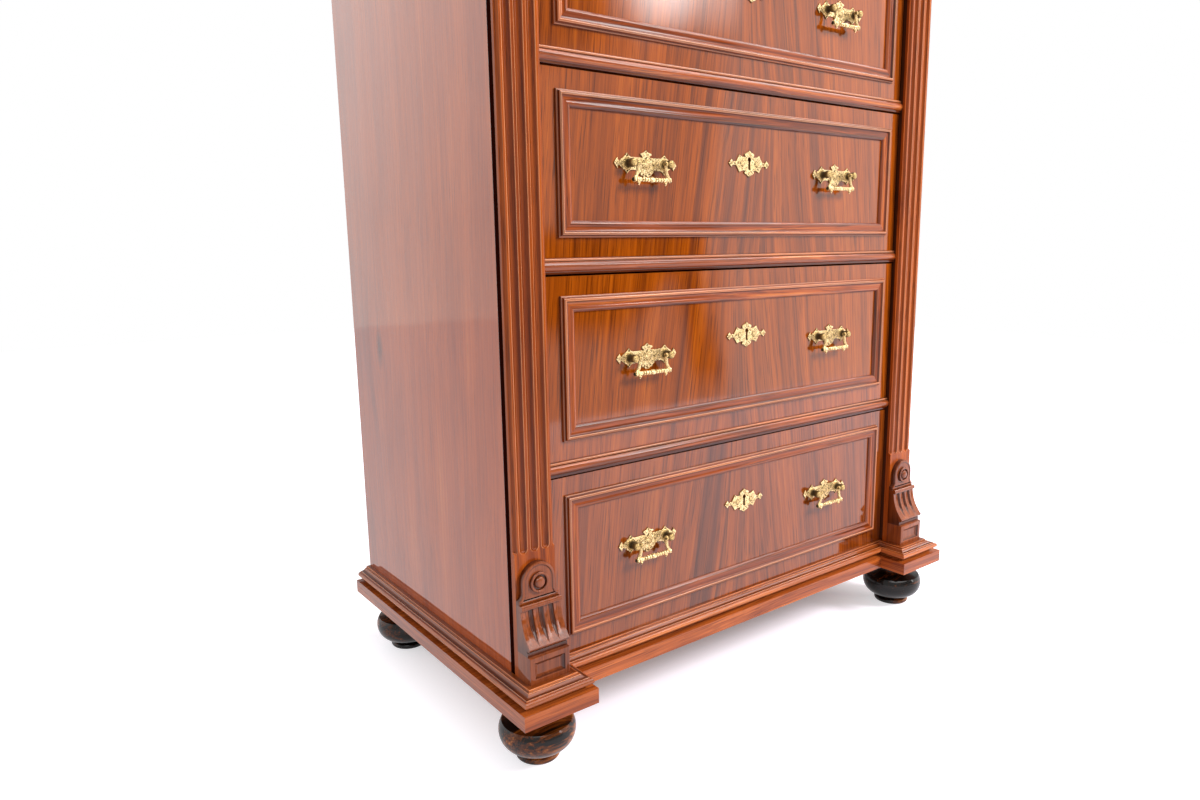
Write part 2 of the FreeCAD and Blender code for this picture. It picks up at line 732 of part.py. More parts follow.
def bail(level, side):
    """A hanging bail: two eyes with pins, curved arms, a turned bar and two pointed drops."""
    outer = post_spacing / 2 - post_head_radius - bail_side_gap
    inner = outer - bail_eye_width
    middle = (inner + outer) / 2
    corner = Vector(middle + bail_splay, 0, -bail_drop)
    tip_x = corner.x - bail_tip_inset
    eye = cylinder(bail_eye_radius, bail_eye_width, Vector(inner, 0, 0), Vector(1, 0, 0))
    pin = cylinder(pivot_pin_radius, outer - middle + pivot_pin_length, Vector(middle, 0, 0), Vector(1, 0, 0))
    arm = bail_arm(Vector(middle, 0, 0), Vector(middle, 0, -bail_straight), corner)
    drop = Part.makeCone(bail_neck_radius, bail_tip_radius, bail_tip_length, Vector(tip_x, 0, -bail_drop),
                         Vector(0, 0, -1))
    bar = turned_bar(corner.x, tip_x).translate(Vector(0, 0, -bail_drop))
    ring = bar.fuse([both_sides(eye.fuse([pin, arm, drop]))]).removeSplitter()
    return ring.translate(Vector(side * pull_offset, front_face - pivot_stand, pull_height(level)))


def build():
    os.makedirs("parts", exist_ok=True)
    save("base_board", [base_board()])
    save("plinth_moulding", plinth_mouldings())
    save("feet", [foot(x, y) for x, y in foot_places()])
    save("side_panels", side_panels())
    save("back_boards", back_boards())
    save("front_posts", front_posts())
    save("pilasters", pilasters())
    save("corbels", corbels())
    save("capitals", capitals())
    save("cornice_moulding", cornice_mouldings())
    save("top_board", [top_board()])
    save("drawer_rails", drawer_rails())
    save("rail_mouldings", rail_mouldings())
    save("runners", runners())
    save("drawer_stops", drawer_stops())
    for level in levels:
        name = "drawer_" + str(level["number"])
        save(name + "_front", [drawer_front(level)])
        save(name + "_frame", drawer_frame(level))
        save(name + "_box", drawer_box(level))
        save(name + "_bottom", [drawer_bottom(level)])
        save(name + "_plates", drawer_plates(level))
        save(name + "_lock", [lock_case(level)])
        save(name + "_bolt", [lock_bolt(level)])
        save(name + "_bail_left", [bail(level, -1)])
        save(name + "_bail_right", [bail(level, 1)])


build()
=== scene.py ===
"""A tall chest of five drawers in polished walnut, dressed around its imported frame."""

import bpy
import numpy as np
from mathutils import Matrix, Vector
from mathutils.geometry import tessellate_polygon


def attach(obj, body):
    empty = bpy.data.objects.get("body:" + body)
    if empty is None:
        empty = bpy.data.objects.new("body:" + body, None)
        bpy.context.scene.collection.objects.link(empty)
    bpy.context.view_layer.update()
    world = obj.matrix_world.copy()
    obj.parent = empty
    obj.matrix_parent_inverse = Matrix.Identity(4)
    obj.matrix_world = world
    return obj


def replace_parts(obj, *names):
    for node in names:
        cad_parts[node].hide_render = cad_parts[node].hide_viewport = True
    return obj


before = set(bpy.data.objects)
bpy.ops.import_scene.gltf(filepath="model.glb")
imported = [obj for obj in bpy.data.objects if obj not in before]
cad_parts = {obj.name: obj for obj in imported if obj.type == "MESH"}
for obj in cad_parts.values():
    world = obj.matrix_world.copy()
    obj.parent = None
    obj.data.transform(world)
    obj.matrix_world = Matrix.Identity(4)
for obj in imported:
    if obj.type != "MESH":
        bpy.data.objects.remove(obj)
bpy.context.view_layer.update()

# Sizes in millimetres, as the chest is built
MM = 0.001
HALF_BODY, HALF_OPENING = 414.5, 355.8
BACK, RAIL_FACE, SHAFT_FACE, BLOCK_FACE = 269.0, -197.5, -215.0, -243.5
DRAWER_FACE, HALF_FRONT = -200.5, 354.6
BASE_TOP, FIRST_LEVEL = 98.0, 118.5
DRAWERS = ((118.8, 357.8), (380.0, 611.0), (633.2, 853.2), (875.4, 1085.4), (1107.6, 1305.6))
CORNICE_BOTTOM, CORNICE_HEIGHT, REBATE = 1314.0, 34.0, 10.0
PLINTH_STEP, CORNICE_STEP, RAIL_RISE = 46.0, 30.5, 2.4
CORBEL_TOP = 265.5
CORBEL_BAR, CORBEL_BLOCK_TOP, ARCH_RADIUS, FINGER_PITCH = (208.5, 215.0), 153.5, 24.0, 15.0
PILASTER_MIDDLE, PILASTER_WIDTH = (HALF_BODY + HALF_OPENING) / 2, HALF_BODY - HALF_OPENING
FLUTE_WIDTH, FLUTE_DEPTH, FLUTE_PITCH, ARRIS_HOLLOW = 11.0, 4.0, 16.0, 4.0
FLUTE_ENDS, GROOVE_FRONT = (282.5, 1243.0), -206.5
PULL_OFFSET, PULL_RISE, PLATE_THICKNESS, PLATE_DROP, KEYHOLE_RISE = 191.0, 6.0, 1.8, 95.0, 6.0
POST_OFFSET, BAIL_REACH, BAIL_DROP, BAIL_DROPLET = 31.0, 13.5, 20.5, 22.3
FRAME_SIDE, FRAME_END = 25.0, 24.0
FEET = ((-386.0, -209.0), (386.0, -209.0), (-386.0, 189.0), (386.0, 189.0))

# Shifts of the map along and across the grain, so that no two lengths show the same wood
LEG_SHIFT, SEED_SHIFT, ACROSS_SHIFT = 900, 7000, 61

# Camera: place in metres, turn, tilt and roll in degrees, lens and width of film in millimetres
STATION = (-0.9028, -1.0475, 0.6430)
TURN, TILT, ROLL = 36.767, 10.298, -0.934
LENS, FILM = 24.92, 36.0


def unit(v):
    """A direction or an array of them, each divided by its length."""
    v = np.asarray(v, float)
    return v / np.linalg.norm(v, axis=-1, keepdims=True)


class Clay:
    """Gathers closed grids of points into one mesh, with a map in metres and a value per point that paints
    shade into hollows and highlights onto arrises of the wood, and marks patina on the brass.
    """

    def __init__(self):
        self.points, self.faces, self.maps, self.grimes, self.count = [], [], [], [], 0

    def grid(self, points, along=None, across=None, grime=0.0):
        """A closed skin from a grid of rows by columns: columns join round, and a flat face closes the
        first and last rows. along and across give the map, one column wider than the grid. The faces
        are turned outwards by the sign of the volume, which is the sum over each row's corner triangles
        of a dot product with a cross product."""
        points = np.asarray(points, float)
        rows, columns = points.shape[:2]
        if along is None:
            steps = np.linalg.norm(np.diff(points, axis=0), axis=2).mean(axis=1)
            along = np.concatenate([[0], np.cumsum(steps)])[:, None] * np.ones(columns + 1)
        if across is None:
            ring = np.concatenate([points, points[:, :1]], axis=1)
            steps = np.linalg.norm(np.diff(ring, axis=1), axis=2).mean(axis=0)
            across = np.concatenate([[0], np.cumsum(steps)]) * np.ones((rows, 1))
        maps = joined(along, across) * MM
        r, c = np.meshgrid(np.arange(rows - 1), np.arange(columns), indexing="ij")
        n = (c + 1) % columns
        here, below = r * columns, (r + 1) * columns
        quads = joined(here + c, here + n, below + n, below + c).reshape(-1, 4)
        corners = np.stack([maps[r, c], maps[r, c + 1], maps[r + 1, c + 1], maps[r + 1, c]], axis=-2)
        flat = points.reshape(-1, 3)
        a, b, d, e = (flat[quads[:, place]] - flat.mean(axis=0) for place in range(4))
        ends = []
        for row, way in ((0, -1), (rows - 1, 1)):
            ring = points[row] - flat.mean(axis=0)
            ends.append(way * (ring.mean(axis=0) * np.cross(ring, np.roll(ring, -1, axis=0))).sum())
        volume = (a * (np.cross(b, d) + np.cross(d, e))).sum() + sum(ends)
        turn = slice(None, None, 1 if volume > 0 else -1)
        self.faces.extend((quads[:, turn] + self.count).tolist())
        self.maps.append(corners.reshape(-1, 4, 2)[:, turn].reshape(-1, 2))
        for row, way in ((0, -1), (rows - 1, 1)):
            ring = np.arange(columns)[::way][turn]
            self.faces.append((ring + row * columns + self.count).tolist())
            self.maps.append(maps[row, ring])
        self.points.append(flat)
        self.grimes.append(np.broadcast_to(grime, (rows, columns)).reshape(-1))
        self.count += rows * columns
        return self

    def pierced(self, loops, middle, back, front, ease=0.35):
        """A flat plate with holes: the first loop of (x, z) points is its edge and the rest are holes. Its
        front edges are eased, and the map is the place from the plate's middle."""
        loops = [np.asarray(loop, float) for loop in loops]
        count = sum(len(loop) for loop in loops)
        eased_loops = [loop + ease * inward(loop) * (1 if number == 0 else -1)
                       for number, loop in enumerate(loops)]
        rings = [(back, loops), (front + ease, loops), (front, eased_loops)]
        flat = [np.concatenate(ring) for _, ring in rings]
        points = np.concatenate([joined(f[:, 0], y, f[:, 1]) for f, (y, _) in zip(flat, rings)])
        faces = []
        for level, (_, ring) in enumerate(rings):
            if level == 1:
                continue
            for a, b, c in tessellate_polygon([[Vector((x, z, 0)) for x, z in loop] for loop in ring]):
                corner = flat[level]
                turn = np.cross(corner[b] - corner[a], corner[c] - corner[a]) > 0
                faces.append([a, b, c] if turn == (level == 2) else [a, c, b])
                faces[-1] = [place + level * count for place in faces[-1]]
        start = 0
        for number, loop in enumerate(loops):
            way = 1 if (signed_area(loop) > 0) == (number == 0) else -1
            for here in range(len(loop)):
                there = (here + 1) % len(loop)
                for level in (0, count):
                    quad = [start + here, start + there, start + there + count, start + here + count]
                    faces.append([place + level for place in quad[::way]])
            start += len(loop)
        place = np.concatenate(flat) - middle
        for face in faces:
            self.faces.append([corner + self.count for corner in face])
            self.maps.append(place[face] * MM)
        self.points.append(points)
        self.grimes.append(np.repeat([0.9, 0.5, 0.0], count))
        self.count += len(points)
        return self

    def piece(self, name, finish, body, slot, sharp=35):
        """Makes the mesh, shades it smooth up to the sharp angle, and lets it ride on a body."""
        mesh = bpy.data.meshes.new(name)
        mesh.from_pydata((np.concatenate(self.points) * MM).tolist(), [], self.faces)
        # The value per point is painted shade and painted highlight on the wood, and patina on the brass.
        mesh.attributes.new("grime", "FLOAT", "POINT").data.foreach_set("value", np.concatenate(self.grimes))
        mesh.uv_layers.new(name="map").data.foreach_set("uv", np.concatenate(self.maps).ravel())
        mesh.shade_smooth()
        mesh.set_sharp_from_angle(angle=np.radians(sharp))
        mesh.materials.append(finish)
        thing = in_scene(name, mesh)
        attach(thing, body)
        return thing


def joined(*parts):
    """Arrays or numbers for each coordinate, brought to one shape and joined as points."""
    return np.stack(np.broadcast_arrays(*parts), axis=-1)


def in_scene(name, data):
    """A new object in the scene that carries a mesh, a light or a camera."""
    thing = bpy.data.objects.new(name, data)
    bpy.context.scene.collection.objects.link(thing)
    return thing


def circle(count):
    """Even angles round a whole turn."""
    return np.linspace(0, 2 * np.pi, count, endpoint=False)


def signed_area(points):
    """Twice the area inside a closed outline, positive when it runs anticlockwise."""
    after = np.roll(points, -1, axis=0)
    return (points[:, 0] * after[:, 1] - points[:, 1] * after[:, 0]).sum()


def inward(points):
    """For each point of a closed outline, the step inwards that draws both its edges in by one."""
    ahead = unit(np.roll(points, -1, axis=0) - points)
    behind = unit(points - np.roll(points, 1, axis=0))
    turn = np.array([[0, 1], [-1, 0]]) * np.sign(signed_area(points))
    first, second = ahead @ turn, behind @ turn
    return (first + second) / np.maximum(1 + (first * second).sum(axis=1, keepdims=True), 0.5)


def outline(steps, arc_steps=9):
    """A chain of flat points: a start, then line ends or (point on the way, end) arcs. An arc runs at
    even angles round the centre of the circle through its three points."""
    chain = [complex(*steps[0])]
    for step in steps[1:]:
        if isinstance(step[0], tuple):
            a, m, b = chain[-1], complex(*step[0]), complex(*step[1])
            w = (b - a) / (m - a)
            centre = a + (m - a) * (w - abs(w) ** 2) / (2j * w.imag)
            sweep = np.angle((m - centre) / (a - centre)) + np.angle((b - centre) / (m - centre))
            chain.extend(centre + (a - centre) * np.exp(1j * np.linspace(0, sweep, arc_steps)[1:]))
        else:
            chain.append(complex(*step))
    chain = np.array(chain)
    return joined(chain.real, chain.imag)


def eased(points, ease=0.4, least=25):
    """A closed outline with each corner sharper than least degrees cut back by ease on both sides, or
    by a third of the shorter side where that is less."""
    before, after = points - np.roll(points, 1, axis=0), np.roll(points, -1, axis=0) - points
    a, b = np.linalg.norm(before, axis=1), np.linalg.norm(after, axis=1)
    turn = np.degrees(np.arccos(np.clip((before * after).sum(axis=1) / (a * b), -1, 1)))
    cut = np.minimum(ease, np.minimum(a, b) / 3) * (turn > least)
    pairs = np.stack([points - before * (cut / a)[:, None], points + after * (cut / b)[:, None]], axis=1)
    keep = np.stack([np.ones(len(points), bool), cut > 0], axis=1)
    return pairs[keep]


def divided(points, step=1.3):
    """A closed outline with points added so that none are further apart than step."""
    ring = np.concatenate([points, points[:1]])
    run = np.concatenate([[0], np.cumsum(np.linalg.norm(np.diff(ring, axis=0), axis=1))])
    places = np.unique(np.concatenate([run[:-1], np.arange(0, run[-1], step)]))
    return np.stack([np.interp(places, run, ring[:, k]) for k in (0, 1)], axis=1)


def shelter(outward, height):
    """How closed in each outline point is, from 0 in the open to 1 in a slot: the steepest rise to any
    other point above it and below it, each as an angle, together as a share of half a turn."""
    rise, off = outward - outward[:, None], height - height[:, None]
    lean = np.arctan2(np.maximum(rise, 0), np.maximum(np.abs(off), 0.3))
    closed = np.where(off > 0, lean, 0).max(axis=1) + np.where(off < 0, lean, 0).max(axis=1)
    return np.clip((closed / np.pi - 0.17) / 0.4, 0, 1) ** 1.3


def arris(points, facing=1):
    """How sharp each point of an outline turns outwards, from 0 on a flat to 1 on an arris: the angle
    between its two edges over their mean length, in degrees per millimetre."""
    behind = points - np.roll(points, 1, axis=0)
    ahead = np.roll(behind, -1, axis=0)
    near, far = np.linalg.norm(behind, axis=1), np.linalg.norm(ahead, axis=1)
    turn = (behind[:, 0] * ahead[:, 1] - behind[:, 1] * ahead[:, 0]) / np.maximum(near * far, 1e-9)
    bend = np.degrees(np.arcsin(np.clip(turn, -1, 1))) / np.maximum(near + far, 0.1) * 2
    return np.clip((facing * bend - 10) / 40, 0, 1)


def moulding(clay, path, up, profile, proud, closed=False, seed=0.0, painted_shadow_below=-1.0):
    """Straight lengths of a moulding, each the profile carried along one leg of the path. Where two
    legs meet, the profile's across direction is the sum of theirs over one plus their cosine, which
    is the mitre. proud picks the profile's outward coordinate, 0 across or 1 up. Each profile point
    gets painted shade by how closed in it is and a painted highlight by how sharp its arris is, and all
    of the profile lower than the last argument's height is painted full dark as a shadow."""
    path, up = np.asarray(path, float), np.asarray(up, float)
    ways = unit((np.roll(path, -1, axis=0) - path) if closed else np.diff(path, axis=0))
    sides = np.cross(ways, up)
    profile = divided(profile)
    ring = np.concatenate([profile, profile[:1]])
    run = np.concatenate([[0], np.cumsum(np.linalg.norm(np.diff(ring, axis=0), axis=1))])
    # Painted shade in the profile's hollows, less a painted highlight on its arrises, and painted shadow
    # below the given height.
    grime = shelter(profile[:, proud], profile[:, 1 - proud])
    grime -= arris(profile, np.sign(signed_area(profile)))
    grime[profile[:, 1 - proud] < painted_shadow_below] = 1
    legs = len(ways)
    for leg in range(legs):
        ends = []
        for end, other in ((leg, leg - 1), ((leg + 1) % len(path), leg + 1)):
            free = not closed and not 0 <= other < legs
            mate = sides[leg] if free else sides[other % legs]
            mitre = (sides[leg] + mate) / (1 + sides[leg] @ mate)
            ends.append(path[end] + profile[:, :1] * mitre + profile[:, 1:] * up)
        ends = np.stack(ends)
        along = (ends - path[leg]) @ ways[leg] + LEG_SHIFT * (leg + 1) + SEED_SHIFT * seed
        along = np.concatenate([along, along[:, :1]], axis=1)
        clay.grid(ends, along, run + np.zeros((2, 1)) + ACROSS_SHIFT * leg, grime)
    return clay


def turned(clay, profile, centre, axis=(0, 0, 1), count=72, grime=0.0):
    """A surface of revolution: (radius, height) points, none of radius 0, carried round an axis."""
    axis = unit(axis)
    first = unit(np.cross(axis, (0, 0, 1) if abs(axis[2]) < 0.9 else (1, 0, 0)))
    second = np.cross(axis, first)
    profile = np.asarray(profile, float)
    angle = circle(count)[:, None]
    spoke = np.cos(angle) * first + np.sin(angle) * second
    points = np.asarray(centre, float) + profile[:, None, :1] * spoke + profile[:, None, 1:] * axis
    return clay.grid(points, grime=np.reshape(grime, (-1, 1)))


# Finishes

class Recipe:
    """A node material for one finish, or the world's nodes, with short ways to add to them."""

    def __init__(self, name, kind="materials", shader="Principled BSDF"):
        self.material = getattr(bpy.data, kind).new(name)
        self.material.use_nodes = True
        self.tree = self.material.node_tree
        self.shader = self.tree.nodes[shader]

    def add(self, kind, sockets=None, **settings):
        """A new node with its settings, and its sockets given values or links."""
        node = self.tree.nodes.new("ShaderNode" + kind)
        for key, value in settings.items():
            setattr(node, key, value)
        for key, value in (sockets or {}).items():
            self.give(node, key, value)
        return node

    def give(self, node, key, value):
        """Links a socket to a node's socket, or writes a plain value on it."""
        if isinstance(value, bpy.types.NodeSocket):
            self.tree.links.new(value, node.inputs[key])
        else:
            node.inputs[key].default_value = value

    def sum(self, operation, *values):
        """One step of arithmetic."""
        node = self.add("Math", operation=operation)
        for place, value in enumerate(values):
            self.give(node, place, value)
        return node.outputs[0]

    def times(self, *values):
        """The product of all the values."""
        product = values[0]
        for value in values[1:]:
            product = self.sum("MULTIPLY", product, value)
        return product

    def noise(self, vector, scale, detail=3.0, roughness=0.55, distortion=0.0):
        """A smooth random value at each place, mostly from 0.3 to 0.7, with about scale waves a metre."""
        return self.add("TexNoise", {"Vector": vector, "Scale": scale, "Detail": detail,
                                     "Roughness": roughness, "Distortion": distortion}).outputs["Fac"]

    def streaks(self, vector, scale, detail=3.0, roughness=0.55):
        """Noise drawn out by a scale for each axis, the smallest along the grain."""
        drawn = self.add("Mapping", {"Vector": vector, "Scale": scale}).outputs[0]
        return self.noise(drawn, 1.0, detail, roughness)

    def ramp(self, factor, stops):
        """Blends between colours written as they look, at places from 0 to 1."""
        node = self.add("ValToRGB", {"Fac": factor})
        band = node.color_ramp
        while len(band.elements) < len(stops):
            band.elements.new(0.5)
        for element, (place, colour) in zip(band.elements, stops):
            element.position, element.color = place, seen(colour)
        return node.outputs[0]

    def span(self, value, low, high, start=0.0, end=1.0):
        """Carries a value from one range to another, held at its ends."""
        return self.add("MapRange", {"Value": value, "From Min": low, "From Max": high, "To Min": start,
                                     "To Max": end}).outputs[0]

    def split(self, vector):
        """The three coordinates of a vector."""
        return self.add("SeparateXYZ", {0: vector}).outputs

    def merge(self, x, y, z):
        """A vector from its three coordinates."""
        return self.add("CombineXYZ", {0: x, 1: y, 2: z}).outputs[0]

    def off(self, value, middle):
        """How far a value is from a middle one, on either side."""
        return self.sum("ABSOLUTE", self.sum("SUBTRACT", value, middle))

    def choose(self, factor, first, second):
        """The first value where the factor is 0, and the second where it is 1."""
        return self.add("Mix", {0: factor, 2: first, 3: second}, data_type="FLOAT").outputs[0]

    def blend(self, factor, first, second):
        """A colour between two."""
        node = self.add("Mix", data_type="RGBA")
        for place, value in ((0, factor), (6, first), (7, second)):
            self.give(node, place, value)
        return node.outputs[2]

    def attribute(self, name):
        """A value kept on the mesh's points."""
        return self.add("Attribute", attribute_name=name).outputs["Fac"]

    def bump(self, height, distance, strength):
        """Shades the surface as if it rose by height times distance."""
        node = self.add("Bump", {"Height": height, "Distance": distance, "Strength": strength})
        self.give(self.shader, "Normal", node.outputs[0])

    def set(self, **sockets):
        """Fills the shader's sockets by name, and gives the finished material."""
        for key, value in sockets.items():
            self.give(self.shader, key.replace("_", " "), value)
        return self.material


def seen(colour):
    """A colour written in everyday 0 to 255 numbers, as the linear colour of a shader."""
    c = np.array(colour) / 255
    linear = np.where(c <= 0.04045, c / 12.92, ((c + 0.055) / 1.055) ** 2.4)
    return (*linear, 1.0)


def grain_space(recipe, along):
    """The place in the wood as (across, through, along the grain): from the map, or from the object's own
    coordinates with the grain along X or Z, or level round the sides."""
    if along == "MAP":
        mapped = recipe.split(recipe.add("UVMap", uv_map="map").outputs[0])
        return recipe.merge(mapped[1], 0.13, mapped[0])
    place = recipe.add("TexCoord").outputs["Object"]
    if along == "Z":
        return place
    parts = recipe.split(place)
    if along == "ROUND":
        facing = recipe.split(recipe.add("NewGeometry").outputs["True Normal"])[0]
        side = recipe.sum("GREATER_THAN", recipe.sum("ABSOLUTE", facing), 0.6)
        run = recipe.choose(side, parts[0], parts[1])
        over = recipe.choose(side, parts[1], parts[0])
        return recipe.merge(recipe.sum("ADD", over, parts[2]), 0.0, run)
    return recipe.merge(parts[1], parts[2], parts[0])


def wood(name, along, tones, pores=0.5, lines=0.5, width=1.0, painted_light_weight=0.0, polish=0.6, top=None,
         cloudy=0.15, shut=None, knot=None, spread=0.2):
    """Walnut or pine: broad bands, growth lines and short dark pores, all noise stretched along the
    grain. The tone is their weighted sum, with clouds, and picks a colour from the ramp of tones.
    tones go from the darkest line to the palest band, width scales the bands and spread evens them
    out. With a top, the grain fans out below it and has dark veins about the middle. Wood that faces
    into the groove at y = shut is painted dark as the groove's shade. The grain flows round a knot at
    its (y, z). The fourth weight after the tones paints shade into the hollows and a highlight onto
    the arrises, by the mesh's stored value."""
    recipe = Recipe(name)
    space = grain_space(recipe, along)
    if top:
        space = fan_out(recipe, space, top)
    if knot:
        space, core = around_knot(recipe, space, *knot)
    wander = recipe.streaks(space, (2.5, 2.5, 1.6), 2.0)
    push = recipe.times(recipe.sum("SUBTRACT", wander, 0.5), 0.018 if top else 0.035)
    bent = recipe.add("VectorMath", {0: space, 1: recipe.merge(push, push, 0.0)}, operation="ADD").outputs[0]
    bands = recipe.streaks(bent, (12 / width, 12 / width, 0.2), 2.0)
    growth = recipe.streaks(bent, (70 / width, 70 / width, 0.45), 3.0, 0.6)
    fine = recipe.streaks(bent, (260, 260, 2.4), 3.0, 0.7)
    short = recipe.streaks(bent, (640, 640, 16), 1.0)
    clouds = recipe.streaks(bent, (14, 14, 5), 3.0)
    tone = recipe.sum("MULTIPLY_ADD", recipe.sum("SUBTRACT", clouds, 0.5), cloudy,
                      recipe.times(bands, 0.35))
    tone = recipe.sum("MULTIPLY_ADD", growth, 0.4 * lines + 0.1, tone)
    tone = recipe.sum("MULTIPLY_ADD", fine, 0.8 * lines, tone)
    middle = 0.5 * (0.45 + 1.2 * lines)
    colour = recipe.ramp(recipe.span(tone, middle - spread, middle + spread), tones)
    dark = seen(tones[0][1])
    if top:
        colour = veined(recipe, space, bent, colour, dark)
    pits = recipe.span(short, 0.56, 0.68)
    colour = recipe.blend(recipe.times(pits, pores), colour, dark)
    if knot:
        colour = recipe.blend(core, colour, dark)
    # The side's wood facing into the groove is painted dark as the groove's shade.
    if shut:
        place = recipe.split(space)[1]
        colour = recipe.blend(recipe.span(place, shut + 0.0008, shut + 0.0001), colour, seen(SHADE))
    # Painted shade darkens the hollows and a painted highlight pales the arrises, by the mesh's stored
    # value.
    if painted_light_weight:
        deep = recipe.attribute("grime")
        colour = recipe.blend(recipe.times(deep, painted_light_weight), colour, seen(PAINTED_SHADE))
        colour = recipe.blend(recipe.span(deep, -0.1, -0.9, 0.0, 0.5), colour, seen(PAINTED_ARRIS_HIGHLIGHT))
    height = recipe.sum("SUBTRACT", recipe.times(fine, 0.4), recipe.times(pits, 0.6))
    recipe.bump(height, 0.0001, 0.4)
    rough = recipe.span(bands, 0.3, 0.7, 0.34, 0.46)
    swell = recipe.streaks(space, (9, 9, 3), 1.0)
    wave = recipe.add("Bump", {"Height": swell, "Distance": 0.0008, "Strength": 1.0}).outputs[0]
    return recipe.set(Base_Color=colour, Roughness=rough, Specular_IOR_Level=0.12 * (1 - polish),
                      Coat_Weight=polish, Coat_Roughness=0.06, Coat_Normal=wave)


def veined(recipe, space, bent, colour, dark):
    """Long veins and thin seams along the grain, strongest near the middle of a front. A seam is where
    the noise is close to a half."""
    aside = recipe.sum("ABSOLUTE", recipe.split(space)[0])
    near = recipe.span(aside, 0.03, 0.20, 1.0, 0.0)
    veins = recipe.streaks(bent, (48, 48, 0.05), 2.0)
    veins = recipe.times(recipe.span(veins, 0.46, 0.66), recipe.sum("MULTIPLY_ADD", near, 0.65, 0.22))
    colour = recipe.blend(veins, colour, seen(VEIN))
    seams = recipe.streaks(bent, (40, 40, 0.05), 2.0)
    seams = recipe.span(recipe.off(seams, 0.5), 0.0, 0.010, 0.55, 0.0)
    return recipe.blend(recipe.times(seams, recipe.span(near, 0.0, 0.6, 0.2, 1.0)), colour, dark)


def around_knot(recipe, space, y, z):
    """The grain pushed aside by a knot, and how much of the knot's dark core shows."""
    parts = recipe.split(space)
    aside = recipe.sum("SUBTRACT", parts[1], y)
    along = recipe.times(recipe.sum("SUBTRACT", parts[2], z), 0.4)
    far = recipe.sum("SQRT", recipe.sum("MULTIPLY_ADD", aside, aside, recipe.times(along, along)))
    drawn = recipe.times(aside, recipe.span(far, 0.07, 0.008, 0.0, -0.75))
    moved = recipe.sum("ADD", parts[1], drawn)
    return recipe.merge(parts[0], moved, parts[2]), recipe.span(far, 0.015, 0.003, 0.0, 0.9)


def fan_out(recipe, space, top):
    """Spreads the grain sideways with the depth below the top, most at a hand's breadth from the
    middle: across + 0.30 * depth * t / (1 + t * t), where t is the way from the middle over 0.12 m and
    the depth stops at 0.26 m. The top also shifts the figure, so that each front has its own."""
    parts = recipe.split(space)
    middle = 0.04 * np.sin(9 * top)
    t = recipe.sum("DIVIDE", recipe.sum("SUBTRACT", parts[0], middle), 0.12)
    share = recipe.sum("DIVIDE", t, recipe.sum("MULTIPLY_ADD", t, t, 1.0))
    depth = recipe.sum("MAXIMUM", recipe.sum("SUBTRACT", parts[2], top), -0.26)
    across = recipe.sum("MULTIPLY_ADD", recipe.times(depth, 0.30), share, parts[0])
    return recipe.merge(across, 3 * top, parts[2])


# The wood's own veins; painted shade in a groove; painted shade in hollows; a painted highlight on arrises.
VEIN, SHADE, PAINTED_SHADE, PAINTED_ARRIS_HIGHLIGHT = (84, 38, 20), (58, 18, 8), (44, 11, 3), (250, 180, 130)
WALNUT = ((0.0, (62, 22, 3)), (0.30, (120, 52, 5)), (0.60, (156, 73, 8)), (1.0, (186, 98, 18)))
SIDE_WALNUT = ((0.0, (100, 40, 8)), (0.35, (160, 66, 12)), (0.65, (188, 86, 20)), (1.0, (210, 114, 38)))
SHADED_RECESS_WALNUT = ((0.0, (16, 5, 1)), (0.35, (42, 16, 4)), (0.65, (72, 30, 8)), (1.0, (104, 48, 14)))
UPRIGHT_WALNUT = ((0.0, (64, 20, 3)), (0.35, (130, 54, 12)), (0.65, (176, 84, 22)), (1.0, (214, 126, 48)))
CARVED_WALNUT = ((0.0, (48, 17, 5)), (0.35, (108, 48, 17)), (0.65, (152, 76, 32)), (1.0, (210, 134, 72)))
LEVEL_WALNUT = ((0.0, (72, 27, 7)), (0.35, (142, 64, 22)), (0.65, (190, 98, 40)), (1.0, (232, 154, 82)))
TRIM_WALNUT = ((0.0, (38, 11, 2)), (0.35, (104, 41, 10)), (0.65, (156, 70, 20)), (1.0, (216, 128, 54)))
FOOT_WALNUT = ((0.0, (3, 1, 1)), (0.50, (10, 5, 2)), (0.66, (104, 52, 15)), (1.0, (240, 144, 56)))
SHADED_LOWEST_WALNUT = ((0.0, (48, 14, 3)), (0.30, (108, 46, 9)), (0.60, (146, 68, 13)), (1.0, (180, 94, 24)))
PINE = ((0.0, (134, 84, 46)), (0.4, (184, 134, 84)), (0.7, (206, 158, 106)), (1.0, (220, 178, 128)))

veneers = {}
for number, (low, high) in enumerate(DRAWERS, 1):
    # The lowest drawer takes a darker copy of the walnut tones: painted shade, for how the light falls low
    # down.
    tones = SHADED_LOWEST_WALNUT if number == 1 else WALNUT
    veneers["drawer_%d_front" % number] = wood("figured veneer %d" % number, "Z", tones, 0.6, 0.45, 0.45,
                                               polish=1.0, top=high * MM, spread=0.24)
# A darkened copy of the walnut for the front posts: painted shade for the groove they stand in.
walnut_painted_shade = wood("shaded walnut", "Z", SHADED_RECESS_WALNUT, 0.5, 0.4, 0.5, polish=0.2)
walnut_side = wood("side walnut", "Z", SIDE_WALNUT, 0.3, 0.35, 1.4, polish=1.0, cloudy=0.35,
                   shut=RAIL_FACE * MM, knot=(0.167, 0.5), spread=0.25)
